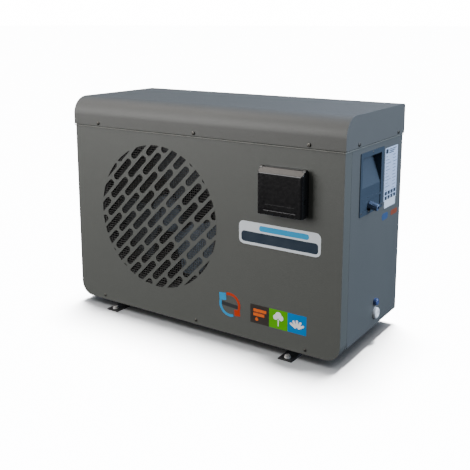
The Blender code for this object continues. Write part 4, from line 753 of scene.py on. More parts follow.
    def rear_panel(self) -> None:
        """The rear panel: a flat sheet with the coil's opening and two pipe holes."""
        low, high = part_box("rear_panel")
        level = high.z - self.lap - self.rise
        depth = 0.01
        piece = block("rear_panel_shell", (low.x, high.y - depth, low.z), (high.x, high.y, level))
        shape(piece, Pick.FACE, lambda f: not at(f, y=high.y), remove_faces)
        self.step_in(piece, level, [(1, high.y, -1)])
        wall(piece, self.sheet)
        open_low, open_high = RearGuard().opening()
        near, far = (open_low.x, high.y - PAST, open_low.z), (open_high.x, high.y + PAST, open_high.z)
        cut(piece, block("coil_opening", near, far))
        for pipe in ("water_inlet_pipe", "water_outlet_pipe"):
            centre = centre_of(pipe)
            ends = [(centre.x, high.y + step, centre.z) for step in (-PAST, PAST)]
            cut(piece, bar("pipe_hole", self.pipe_hole, *ends))
        soften(piece, 0.0005, 2)
        fit(piece, SIDE_PAINT, stands_for=["rear_panel"])


@dataclass
class Grille:
    """The round field of slanted slots in the front panel."""

    radius: float = 0.200
    width: float = 0.0192
    length: float = 0.085
    pitch: float = 0.095
    row_pitch: float = 0.02856
    slant: float = math.radians(45)
    depth: float = 0.006
    field_depth: float = 0.004

    def centre(self) -> Vector:
        """The middle of the field, from the guard behind it."""
        return centre_of("fan_guard")

    def tool(self, front: float) -> bpy.types.Object:
        """All slots, clipped to the circle, as one cutting tool at the panel's front face.

        Args:
            front: the y of that face.

        Returns:
            The tool.
        """
        middle_point = self.centre()
        one = slot_tool("slot", self.length, self.width, self.depth, 8)
        one.data.transform(Matrix.Rotation(-self.slant, 4, "Y"))
        along = Vector((math.cos(self.slant), 0, math.sin(self.slant)))
        across = Vector((math.sin(self.slant), 0, -math.cos(self.slant)))
        reach = self.radius + self.length / 2
        rows, steps = int(reach / self.row_pitch), int(reach / self.pitch) + 1
        copies = []
        for row in range(-rows, rows + 1):
            for step in range(-steps, steps + 1):
                stagger = self.pitch / 2 if row % 2 else 0
                place = along * (step * self.pitch + stagger) + across * row * self.row_pitch
                if place.length < reach:
                    spot = (middle_point.x + place.x, front, middle_point.z + place.z)
                    copies.append(copy(one, "slot_copy", Matrix.Translation(spot)))
        bpy.data.objects.remove(one)
        tool = join("slots", copies)
        ends = [(middle_point.x, front + y, middle_point.z) for y in (-self.field_depth, self.field_depth)]
        combine(tool, [bar("field", self.radius, *ends, sides=128)], "INTERSECT")
        return tool


# ---- fasteners ----
@dataclass
class Screws:
    """Pan-head screws with a cross recess, modelled once and copied."""

    RISE = 0.008  # above the lid's lower edge
    HOLE = 0.0057  # radius of the hole round a sunk head
    radius: float = 0.0052
    height: float = 0.0028
    recess: float = 0.0014
    margin: float = 0.012
    top_margin: float = 0.045
    front_pitch: float = 0.335
    rear_pitch: float = 0.337

    @staticmethod
    def side_places() -> list[float]:
        """How far back the lid's side screws are."""
        return [centre_of(f"lid_screw_right_{i}").y for i in (1, 2)]

    def head(self) -> bpy.types.Object:
        """One head at the origin, pointing up Z.

        Returns:
            The head.
        """
        piece = bar("screw_head", self.radius, (0, 0, -0.001), (0, 0, self.height), 24)
        shape(piece, Pick.EDGE, lambda e: at(e, z=self.height), bevel(self.height * 0.75, 5))
        for turn in (0, math.pi / 2):
            near, far = (-0.0026, -0.0005, self.height - self.recess), (0.0026, 0.0005, self.height + 0.001)
            tool = block("recess", near, far)
            tool.data.transform(Matrix.Rotation(turn, 4, "Z"))
            cut(piece, tool)
        smooth(piece, 40)
        return piece

    def build(self) -> None:
        """Places every screw on the case."""
        head = self.head()
        lid_low, lid_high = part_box("lid")
        level = lid_low.z + self.RISE
        self.on_nodes(head)
        for i, y in enumerate(self.side_places()):
            self.place(head, f"lid_screw_left_{i + 1}", (lid_low.x + self.height, y, level), (-1, 0, 0))
        middle_x = (lid_low.x + lid_high.x) / 2
        for i in (-1, 0, 1):
            spot = (middle_x + i * self.rear_pitch, lid_high.y, level)
            self.place(head, f"lid_screw_rear_{i + 2}", spot, (0, 1, 0))
        low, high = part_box("front_panel")
        for i in (-1, 0, 1):
            spot = (middle_x + i * self.front_pitch, low.y, low.z + self.margin)
            self.place(head, f"front_panel_screw_{i + 2}", spot, (0, -1, 0), 0.75)
        low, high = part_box("rear_panel")
        for i, x in enumerate((low.x + 0.010, middle_x, high.x - 0.010)):
            for j, z in enumerate((low.z + self.margin, high.z - self.top_margin)):
                self.place(head, f"rear_panel_screw_{i + 1}_{j + 1}", (x, high.y, z), (0, 1, 0), 0.8)
        bpy.data.objects.remove(head)

    def on_nodes(self, head: bpy.types.Object) -> None:
        """Replaces the lid screws that the frame already has.

        Args:
            head: the head to copy.
        """
        lid_low, lid_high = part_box("lid")
        for side, count in (("front", 3), ("right", 2)):
            for i in range(count):
                node = f"lid_screw_{side}_{i + 1}"
                centre = centre_of(node)
                if side == "front":
                    spot, way = (centre.x, lid_low.y, centre.z), (0, -1, 0)
                else:
                    spot, way = (lid_high.x, centre.y, centre.z), (1, 0, 0)
                self.place(head, f"{node}_head", spot, way, 1.0, [node])

    def place(self, head: bpy.types.Object, name: str, spot: Sequence[float], way: Sequence[float],
              scale: float = 1.0, stands_for: Sequence[str] = ()) -> None:
        """Copies the head to a spot, pointing a way.

        Args:
            head: the head to copy.
            name: the screw's name.
            spot: where it goes.
            way: the direction that it points.
            scale: its size as a share of the head's.
            stands_for: the CAD nodes that it replaces.
        """
        turn = Vector(way).to_track_quat("Z", "Y").to_matrix().to_4x4()
        move = Matrix.Translation(spot) @ turn @ Matrix.Scale(scale, 4)
        fit(copy(head, name, move), SCREW_ZINC, stands_for=stands_for)


# ---- the fan side ----
@dataclass
class FanSide:
    """The mesh behind the slots, the fan, its motor and shroud."""

    mesh_pitch: float = 0.0068
    mesh_wire: float = 0.0015
    blades: int = 3
    sweep: float = math.radians(78)
    advance: float = 0.034
    rest: float = math.radians(-45)
    hub: float = 0.055
    tip: float = 0.188
    thick: float = 0.003

    def build(self) -> None:
        """Builds the fan side."""
        self.mesh()
        self.rotor()
        dress(BLACK_PP, "fan_shroud")
        dress(MOTOR_PAINT, "fan_motor")
        dress(GALVANISED, "base_pan", "partition")
        dress(FOOT_PAINT, "motor_bracket")
        dress(STEEL, "fan_shaft")

    def mesh(self) -> None:
        """A fine square mesh, as a round disc just behind the panel."""
        low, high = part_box("fan_guard")
        centre, radius = (low + high) / 2, (high.x - low.x) / 2
        count = int(2.1 * radius / self.mesh_pitch)
        deselect()
        bpy.ops.mesh.primitive_grid_add(
            x_subdivisions=count, y_subdivisions=count, size=count * self.mesh_pitch, location=centre,
            rotation=(math.pi / 2, 0, 0),
        )
        piece = settle("fan_mesh")
        shape(piece, Pick.FACE, lambda f: (middle(f) - centre).length > radius - 0.004, remove_faces)
        modify(piece, "WIREFRAME", thickness=self.mesh_wire, use_even_offset=True, use_replace=True)
        flatter = 0.8
        piece.data.transform(about(centre, Matrix.Scale(flatter, 4, (0, 1, 0))))
        fit(piece, DUSTED_WIRE, stands_for=["fan_guard"])

    def blade(self, centre: Vector, turn: float) -> bpy.types.Object:
        """One swept blade: a grid bent onto its spiral, then thickened and smoothed.

        Args:
            centre: the fan's middle.
            turn: its angle round the fan.

        Returns:
            The blade.
        """
        deselect()
        bpy.ops.mesh.primitive_grid_add(x_subdivisions=14, y_subdivisions=12, size=1.0)
        piece = settle("blade")
        root = self.hub * 0.9
        for vert in piece.data.vertices:
            chord, share = vert.co.x, vert.co.y + 0.5
            corner = 1 - 0.10 * max(0.0, abs(chord) * 2 - 0.7) / 0.3
            radius = root + (self.tip - root) * share * corner
            angle = turn + chord * self.sweep * (0.62 + 0.38 * share) + 0.18 * share
            curve = 0.004 * (1 - (2 * chord) ** 2)
            y = centre.y + chord * self.advance * (1 - 0.25 * share) + curve - 0.002
            vert.co = (centre.x + radius * math.cos(angle), y, centre.z + radius * math.sin(angle))
        modify(piece, "SOLIDIFY", thickness=self.thick, offset=0)
        modify(piece, "SUBSURF", levels=1, render_levels=1)
        return piece

    def rotor(self) -> None:
        """The fan: a domed hub with swept blades."""
        low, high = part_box("fan_rotor")
        shroud = centre_of("fan_shroud")
        centre = Vector((shroud.x, (low.y + high.y) / 2, shroud.z))
        front, back = (centre.x, low.y, centre.z), (centre.x, high.y, centre.z)
        hub = bar("hub", self.hub, front, back, 64)
        shape(hub, Pick.EDGE, lambda e: at(e, y=low.y), bevel(0.012, 6))
        shape(hub, Pick.FACE, lambda f: at(f, y=low.y), inset(0.018), inset(0.003, -0.004))
        blades = [self.blade(centre, self.rest + 2 * math.pi * i / self.blades) for i in range(self.blades)]
        piece = join("fan", [hub, *blades])
        smooth(piece)
        fit(piece, FAN_PP, "fan", ["fan_rotor"])


@dataclass
class RearGuard:
    """The coil behind the rear panel, and the wire guard in front of it."""

    wire: float = 0.0014
    pitch: float = 0.028
    fin_pitch: float = 0.0032
    corner: float = 0.055
    thick: float = 0.025
    border: float = 0.009
    cross_wires: int = 5
    fin: float = 0.0004
    bend_fins: int = 25

    def opening(self) -> tuple[Vector, Vector]:
        """The rear panel's opening, from the guard's own margin."""
        low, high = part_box("coil_guard")
        return low + Vector((0.008, 0, 0.008)), high - Vector((0.005, 0, 0.008))

    def build(self) -> None:
        """Builds the guard and the finned coil."""
        self.guard()
        self.coil()

    def guard(self) -> None:
        """Upright wires on cross wires, in a flat frame."""
        low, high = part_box("coil_guard")
        piece = block("coil_guard_frame", low, high)
        border = self.border
        near = (low.x + border, low.y - PAST, low.z + border)
        far = (high.x - border, high.y + PAST, high.z - border)
        cut(piece, block("window", near, far))
        soften(piece, 0.0004, 1)
        wires = []
        y, radius, end = (low.y + high.y) / 2, self.wire / 1.45, 0.004
        gaps = int((high.x - low.x) / self.pitch) + 1
        for i in range(1, gaps):
            x = low.x + i * (high.x - low.x) / gaps
            wires.append(bar("wire", radius, (x, y, low.z + end), (x, y, high.z - end), 8))
        for i in range(1, self.cross_wires + 1):
            z = low.z + i * (high.z - low.z) / (self.cross_wires + 1)
            wires.append(bar("wire", radius, (low.x + end, y, z), (high.x - end, y, z), 8))
        guard = join("coil_guard_wires", wires)
        smooth(guard)
        fit(piece, COATED_WIRE, stands_for=["coil_guard"])
        fit(guard, COATED_WIRE)

    def coil(self) -> None:
        """Thin fins round the bend, on a black sheet inside them that paints the shade deep in the coil."""
        low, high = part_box("evaporator_coil")
        pivot = Vector((low.x + self.corner, high.y - self.corner, 0))
        fin = block("fin", (pivot.x, high.y - self.thick, low.z), (pivot.x + self.fin, high.y, high.z))
        fins = []
        for i in range(int((high.x - pivot.x) / self.fin_pitch)):
            fins.append(copy(fin, "fin_copy", Matrix.Translation((i * self.fin_pitch, 0, 0))))
        for i in range(int((pivot.y - low.y) / self.fin_pitch)):
            turned = about(pivot, Matrix.Rotation(math.pi / 2, 4, "Z"))
            fins.append(copy(fin, "fin_copy", Matrix.Translation((0, -i * self.fin_pitch, 0)) @ turned))
        for i in range(1, self.bend_fins + 1):
            angle = i * math.pi / (2 * (self.bend_fins + 1))
            fins.append(copy(fin, "fin_copy", about(pivot, Matrix.Rotation(angle, 4, "Z"))))
        bpy.data.objects.remove(fin)
        fit(join("coil_fins", fins), FIN_STOCK, stands_for=["evaporator_coil"])
        # A black sheet inside the fins: painted shade for the dark depth of the coil.
        edge = self.thick / 2
        near = Vector((low.x + edge, low.y + 0.001, low.z))
        far = Vector((high.x - 0.001, high.y - edge, high.z))
        shade_sheet = block("coil_core", near, far)
        shape(shade_sheet, Pick.EDGE, lambda e: at(e, x=near.x, y=far.y), bevel(self.corner - edge, 12))
        shape(
            shade_sheet, Pick.FACE, lambda f: at(f, y=near.y) or at(f, x=far.x) or at(f, z=near.z) or at(f, z=far.z),
            remove_faces,
        )
        wall(shade_sheet, 0.002)
        smooth(shade_sheet)
        fit(shade_sheet, POT_PAINT)


# ---- the controls ----
@dataclass
class Controls:
    """The housing on the front panel, its hinged cover, display and keys."""

    corner: float = 0.009
    plate: float = 0.0097
    ear: float = 0.0055
    ear_width: float = 0.007
    wall: float = 0.0025
    slope_height: float = 0.0165
    slope_rise: float = 0.0145
    gap: float = 0.0003

    def build(self) -> None:
        """Builds the controls."""
        self.housing()
        self.cover()
        self.display()
        self.keys()
        dress(STEEL, "cover_hinge_pin")

    def hinge(self) -> Vector:
        """The middle of the cover's hinge pin."""
        return centre_of("cover_hinge_pin")

    def housing(self) -> None:
        """A shallow frame with wells for the keys and a seat for the display."""
        low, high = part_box("control_housing")
        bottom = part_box("control_cover")[0].z - self.gap
        hinge = self.hinge()
        back = high.y
        front = back - self.plate
        top = hinge.z + 0.0035
        piece = block("control_frame", (low.x, front, bottom), (high.x, back, top))
        shape(piece, Pick.EDGE, lambda e: span(e, 1) > TOUCH and span(e, 2) < TOUCH, bevel(self.corner, 6))
        for x in (low.x, high.x - self.ear_width):
            ends = [(x + step, hinge.y, hinge.z) for step in (0, self.ear_width)]
            unite(piece, bar("ear", self.ear, *ends, sides=32))
        display_low, display_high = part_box("control_display")
        gap = self.gap
        near = (display_low.x - gap, display_low.y - 0.002, display_low.z - gap)
        far = (display_high.x + gap, display_high.y + gap, display_high.z + gap)
        cut(piece, block("seat", near, far))
        for key in Keys.NAMES:
            key_low, key_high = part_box(key)
            centre = (key_low + key_high) / 2
            radius = (key_high.x - key_low.x) / 2 + 0.0004
            ends = [(centre.x, y, centre.z) for y in (front - 0.002, back - 0.0017)]
            cut(piece, bar("well", radius, *ends, sides=32))
        soften(piece, 0.0006, 2)
        fit(piece, GLOSS_ABS, stands_for=["control_housing"])

    def cover(self) -> None:
        """The hinged flap: a hollow box with a sloped top and a finger lip."""
        low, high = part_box("control_cover")
        hinge = self.hinge()
        piece = block("control_flap", low, (high.x, high.y, hinge.z + 0.0032))
        shoulder = high.z - self.slope_height + 0.003
        near = (low.x - PAST, low.y - 2 * PAST, shoulder)
        slope = block("slope", near, (high.x + PAST, hinge.y - 0.001, shoulder + 0.04))
        for way in (1, -1):
            shape(
                slope, Pick.VERT, lambda v: (v.co.y - low.y) * way > 0 and v.co.z < shoulder + 0.01,
                shift(0, 0, way * self.slope_rise),
            )
        cut(piece, slope)
        shape(
            piece, Pick.EDGE, lambda e: abs(middle(e).y - low.y) < TOUCH and span(e, 2) > 0.05,
            bevel(0.006, 6),
        )
        shape(
            piece, Pick.EDGE, lambda e: e.calc_face_angle(0) > 0.5 and not at(e, y=high.y), bevel(0.0018, 4)
        )
        near = low + Vector((self.wall, self.wall, self.wall))
        room = block("room", near, (high.x - self.wall, high.y + PAST, hinge.z - 0.008))
        shape(
            room, Pick.VERT, lambda v: v.co.y < low.y + 0.01 and v.co.z > low.z + 0.05, shift(0, 0, -0.010)
        )
        cut(piece, room)
        for x in (low.x, high.x):
            ends = [(x + step * (self.ear_width + self.gap), hinge.y, hinge.z) for step in (-1, 1)]
            cut(piece, bar("ear_room", self.ear + 0.0009, *ends, sides=32))
        ends = [(x, low.y - 0.0117, low.z + 0.013) for x in (low.x + 0.018, high.x - 0.018)]
        cut(piece, bar("lip", 0.012, *ends, sides=64))
        near = (low.x + 0.020, low.y - 0.005, low.z + 0.026)
        window = block("window", near, (high.x - 0.020, low.y + 0.0006, shoulder - 0.012))
        shape(window, Pick.EDGE, lambda e: span(e, 1) > TOUCH, bevel(0.004, 4))
        cut(piece, window)
        near = (high.x - 0.0012, low.y + 0.007, low.z + 0.036)
        cut(piece, block("notch", near, (high.x + PAST, low.y + 0.015, low.z + 0.048)))
        soften(piece, 0.0005, 2, 40)
        fit(piece, GLOSS_ABS, "cover", ["control_cover"])

    def display(self) -> None:
        """The display window with its bevelled edge."""
        low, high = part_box("control_display")
        piece = block("display_window", low, high)
        shape(piece, Pick.FACE, lambda f: at(f, y=low.y), inset(0.003), inset(0.0006, -0.0006))
        soften(piece, 0.0004, 2)
        fit(piece, DISPLAY, stands_for=["control_display"])

    def keys(self) -> None:
        """The four domed keys."""
        for key in Keys.NAMES:
            low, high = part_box(key)
            centre = (low + high) / 2
            ends = [(centre.x, y, centre.z) for y in (high.y, low.y)]
            piece = bar(f"{key}_cap", (high.x - low.x) / 2, *ends)
            shape(piece, Pick.EDGE, lambda e: at(e, y=low.y), bevel(0.0012, 4))
            shape(piece, Pick.FACE, lambda f: at(f, y=low.y), inset(0.0012), inset(0.0008, -0.0003))
            smooth(piece)
            fit(piece, KEY_RUBBER, key, [key])


class Keys:
    """The keys' names, from left to right."""

    NAMES = ("power_key", "mode_key", "down_key", "up_key")


# ---- side fittings ----
@dataclass
class SideFittings:
    """The carry-handle mouldings, the cable gland and the two small caps."""

    flange: float = 0.0085
    wall: float = 0.003
    roof: float = 0.001
    land: float = 0.0165
    hold: float = 0.027
    seat: float = 0.002
    proud: float = 0.002
    slope_low: float = 0.076
    ridge_low: float = 0.105
    groove: float = 0.008
    screw_inset: float = 0.0085
    gland_droop: float = math.radians(14)

    def build(self) -> None:
        """Builds both mouldings and what the right one carries."""
        for side in ("left", "right"):
            self.moulding(side)
        self.gland()
        self.caps()

    def moulding(self, side: str) -> None:
        """A flanged pocket with a sloped finger rest, a cross ridge and a cable channel below.

        Args:
            side: left or right.
        """
        low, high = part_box(f"carry_handle_{side}")
        way = 1 if side == "right" else -1
        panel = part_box(f"{side}_side_panel")
        face = (panel[1].x if way > 0 else panel[0].x) + way * self.proud

        def spot(depth: float, y: float, z: float) -> tuple[float, float, float]:
            """A place by its depth behind the moulding's face."""
            return (face - way * depth, y, z)

        def chunk(name: str, near: tuple, far: tuple) -> bpy.types.Object:
            """A box between two such places."""
            corners = list(zip(spot(*near), spot(*far)))
            return block(name, [min(pair) for pair in corners], [max(pair) for pair in corners])

        piece = chunk(f"carry_pocket_{side}", (0, low.y, low.z), (self.proud - 0.0003, high.y, high.z))
        shape(piece, Pick.EDGE, lambda e: span(e, 0) > TOUCH, bevel(0.004, 5))
        top = high.z - self.flange - self.wall - self.roof
        foot = top - self.slope_low
        edge = self.flange
        deep = self.hold + self.wall
        tub = chunk("tub", (0.001, low.y + edge, foot), (deep, high.y - edge, high.z - edge))
        near = (0.001, low.y + edge, low.z + edge)
        lower = chunk("lower_tub", near, (self.seat + 0.010, high.y - edge, foot + 0.02))
        unite(piece, tub, lower)
        front, rear = low.y + edge + self.wall, high.y - self.land
        pocket = chunk("pocket", (-PAST, front, foot), (self.hold, rear, top))
        back = spot(self.hold, 0, 0)[0]
        shape(
            pocket, Pick.VERT, lambda v: abs(v.co.x - back) < TOUCH and v.co.z < top - 0.01,
            shift(way * (self.hold - self.seat), 0, 0),
        )
        cut(piece, pocket)
        ridge = top - self.ridge_low
        half = 0.003
        band = ("band", ridge + half, foot + 0.0005)
        seat = ("seat", low.z + edge + self.wall, ridge - half)
        for name, bottom, upper in (band, seat):
            cut(piece, chunk(name, (-PAST, front, bottom), (self.seat, rear, upper)))
        if side == "right":
            self.channel(piece, face)
        soften(piece, 0.0008, 3, 30)
        fit(piece, POCKET_ABS, stands_for=[f"carry_handle_{side}"])
        self.pocket_screws(side, face, way, low, high)

    def channel(self, piece: bpy.types.Object, face: float) -> None:
        """The cable's way down below the gland, and the hole behind the gland.

        Args:
            piece: the moulding.
            face: the x of its face.
        """
        centre = centre_of("cable_gland")
        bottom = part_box("carry_handle_right")[0].z + 0.003
        ends = [(face - 0.001, centre.y - 0.004, z) for z in (bottom, centre.z - 0.005)]
        cut(piece, bar("groove", self.groove, *ends, sides=32))
        ends = [(face + step, centre.y, centre.z) for step in (-0.05, 0.02)]
        cut(piece, bar("cable_hole", 0.005, *ends, sides=24))

    def pocket_screws(self, side: str, face: float, way: int, low: Vector, high: Vector) -> None:
        """The three small sunk screws in a moulding's flange.

        Args:
            side: left or right.
            face: the x of the moulding's face.
            way: the way out, as 1 or -1.
            low: the moulding's low corner.
            high: its high corner.
        """
        head = Screws().head()
        edge = self.screw_inset
        middle_y = (low.y + high.y) / 2
        places = (
            (low.y + edge, low.z + edge), (high.y - edge, low.z + edge), (middle_y, high.z - self.flange / 2)
        )
        for i, (y, z) in enumerate(places):
            spot = (face - way * 0.0009, y, z)
            Screws().place(head, f"pocket_screw_{side}_{i + 1}", spot, (way, 0, 0), 0.52)
        bpy.data.objects.remove(head)

    def gland(self) -> None:
        """The gland's hexagon and its ribbed, domed nut."""
        low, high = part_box("cable_gland")
        centre = (low + high) / 2
        body = bar("gland_body", 0.0105, (low.x - 0.003, centre.y, centre.z), (high.x, centre.y, centre.z), 6)
        soften(body, 0.0006, 2)
        low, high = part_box("gland_nut")
        shoulder = low.x + (high.x - low.x) * 0.55
        nut = bar("gland_dome", 0.0091, (low.x, centre.y, centre.z), (shoulder, centre.y, centre.z), 36)

        def rib(f: bmesh.types.BMFace) -> bool:
            """True for every third face round the nut."""
            turn = math.degrees(math.atan2(f.normal.z, f.normal.y))
            return abs(f.normal.x) < 0.5 and int(turn // 10) % 3 == 0

        shape(nut, Pick.FACE, rib, inset(0.0002, 0.0004, True))
        dome = bar("dome", 0.0090, (shoulder - 0.001, centre.y, centre.z), (high.x, centre.y, centre.z), 36)
        shape(dome, Pick.EDGE, lambda e: at(e, x=high.x), bevel(0.0028, 5))
        shape(dome, Pick.FACE, lambda f: at(f, x=high.x), inset(0.0010), inset(0.0003, -0.006))
        nut = join("gland_dome", [nut, dome])
        smooth(nut, 30)
        root = Vector((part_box("cable_gland")[0].x, centre.y, centre.z))
        inwards = Matrix.Translation((-0.0011, 0, 0))
        droop = inwards @ about(root, Matrix.Rotation(self.gland_droop, 4, "Y"))
        body.data.transform(droop)
        nut.data.transform(droop)
        fit(body, GLAND_NYLON, stands_for=["cable_gland"])
        fit(nut, GLAND_NYLON, stands_for=["gland_nut"])

    def caps(self) -> None:
        """The refrigerant service cap and the drain cap."""
        caps = (("service_port_cap", BLUE_CAP, 0.004), ("drain_cap", WHITE_CAP, 0.005))
        for node, finish, edge in caps:
            low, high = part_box(node)
            centre = (low + high) / 2
            radius = (high.y - low.y) / 2
            seat = low.x + 0.0063
            ends = [(x, centre.y, centre.z) for x in (seat, high.x)]
            piece = bar(f"{node}_body", radius, *ends, sides=40)
            shape(piece, Pick.EDGE, lambda e: at(e, x=high.x), bevel(edge, 6))
            shape(piece, Pick.FACE, lambda f: at(f, x=high.x), inset(radius * 0.25), inset(0.001, -0.0012))
            smooth(piece, 30)
            fit(piece, finish, stands_for=[node])


# ---- water side ----
@dataclass
class WaterFittings:
    """The two unions on the rear."""

    bore: float = 0.021
    thread: float = 0.030
    pipe_radius: float = 0.025
    turns: int = 7
    saddle: float = 0.0623
    ridges: int = 72

    def build(self) -> None:
        """Builds each pipe end with its nut."""
        for name in ("inlet", "outlet"):
            self.pipe(name)
            self.union_nut(name)
        dress(GREY_PVC, "exchanger_shell", "terminal_block")
        dress(BLACK_PP, "flow_switch", "flow_paddle")
        dress(TITANIUM, "titanium_coil")

    def pipe(self, name: str) -> None:
        """A pipe with a rolled thread at its end.

        Args:
            name: inlet or outlet.
        """
        low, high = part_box(f"water_{name}_pipe")
        centre = (low + high) / 2

        def ring(radius: float, start: float, end: float) -> bpy.types.Object:
            """A round bar on the pipe's axis, between two places along it."""
            return bar("ring", radius, (centre.x, start, centre.z), (centre.x, end, centre.z), 56)

        piece = ring(self.pipe_radius, low.y, high.y - 0.02)
        unite(piece, ring(self.thread - 0.0012, high.y - 0.027, high.y))
        cut(piece, ring(self.bore, low.y - PAST, high.y + PAST))
        shell = centre_of("exchanger_shell")
        ends = [(shell.x, shell.y, centre.z + step) for step in (-0.04, 0.04)]
        cut(piece, bar("saddle", self.saddle, *ends, sides=64))
        soften(piece, 0.0006, 2)
        threads = []
        for i in range(self.turns):
            deselect()
            bpy.ops.mesh.primitive_torus_add(
                location=(centre.x, high.y - 0.0025 - i * 0.0036, centre.z),
                rotation=(math.pi / 2, 0, 0),
                major_radius=self.thread - 0.0012, minor_radius=0.0011,
                major_segments=56, minor_segments=8,
            )
            threads.append(settle("thread"))
        piece = join(f"water_{name}_tail", [piece, *threads])
        smooth(piece)
        fit(piece, GREY_PVC, stands_for=[f"water_{name}_pipe"])

    def union_nut(self, name: str) -> None:
        """A ribbed nut that turns on the thread.

        Args:
            name: inlet or outlet.
        """
        low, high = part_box(f"{name}_union_nut")
        centre = (low + high) / 2
        ends = [(centre.x, y, centre.z) for y in (low.y, high.y)]
        piece = bar(f"{name}_nut", (high.x - low.x) / 2 - 0.0012, *ends, sides=self.ridges)

        def rib(f: bmesh.types.BMFace) -> bool:
            """True for two in six of the faces round the nut.

            Args:
                f: the face.

            Returns:
                Whether it is part of a rib.
            """
            if abs(f.normal.y) > 0.5:
                return False
            spot = f.calc_center_median()
            turn = math.atan2(spot.z - centre.z, spot.x - centre.x)
            return int((turn + math.pi) / (2 * math.pi / self.ridges)) % 6 < 2

        def spread() -> None:
            """Moves the ribs outwards."""
            bpy.ops.transform.resize(value=(1.031, 1, 1.031), center_override=centre)

        shape(piece, Pick.FACE, rib, pull(0, 0, 0), spread)
        ends = [(centre.x, y, centre.z) for y in (low.y - PAST, high.y + PAST)]
        cut(piece, bar("nut_bore", self.thread + 0.0003, *ends, sides=self.ridges))
        soften(piece, 0.0009, 2, 30)
        fit(piece, BLACK_PP, stands_for=[f"{name}_union_nut"])


# ---- feet and hidden pieces ----
@dataclass
class Underside:
    """The foot rails with their bolts, and the pieces inside the case."""

    def build(self) -> None:
        """Builds the feet and dresses the inside."""
        for side in ("left", "right"):
            self.rail(side)
        self.bolts()
        dress(POT_PAINT, "compressor", "suction_accumulator")
        dress(RUBBER, *[f"compressor_grommet_{i}" for i in (1, 2, 3)])
        dress(BRASS, "four_way_valve")
        pipes = ("discharge", "suction", "exchanger_gas", "evaporator_gas", "liquid")
        dress(COPPER, *[f"{pipe}_pipe" for pipe in pipes])
        dress(GALVANISED, "electrical_box")
        dress(BOARD, "control_board")

    def rail(self, side: str) -> None:
        """A folded rail, from the frame's own rail with its folds and corners rounded.

        Args:
            side: left or right.
        """
        node = f"foot_rail_{side}"
        piece = copy(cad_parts[node], f"{node}_folded", Matrix())
        shape(piece, Pick.VERT, lambda v: True, lambda: bpy.ops.mesh.remove_doubles(threshold=TOUCH),
              lambda: bpy.ops.mesh.dissolve_limited(angle_limit=math.radians(1)))
        soften(piece, 0.0009, 2)
        fit(piece, FOOT_PAINT, stands_for=[node])

    def bolts(self) -> None:
        """Hexagon bolts on washers, front and rear."""
        for side in ("left", "right"):
            node = f"foot_bolt_{side}"
            centre, top = centre_of(node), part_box(node)[1].z
            rail_low, rail_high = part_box(f"foot_rail_{side}")
            mirrored = rail_low.y + rail_high.y - centre.y
            for end, y in (("front", centre.y), ("rear", mirrored)):
                washer = bar("washer", 0.0085, (centre.x, y, 0.0033), (centre.x, y, 0.0049), 32)
                head = bar("head", 0.0075, (centre.x, y, 0.0048), (centre.x, y, top), 6)
                shape(head, Pick.EDGE, lambda e: at(e, z=top), bevel(0.001, 2))
                piece = join(f"{node}_{end}", [washer, head])
                soften(piece, 0.0003, 2)
                fit(piece, ZINC, stands_for=[node] if end == "front" else ())


# ---- printed film ----
class Face(Enum):
    """The side of the case that film is on."""

    FRONT = "front"
    RIGHT = "right"


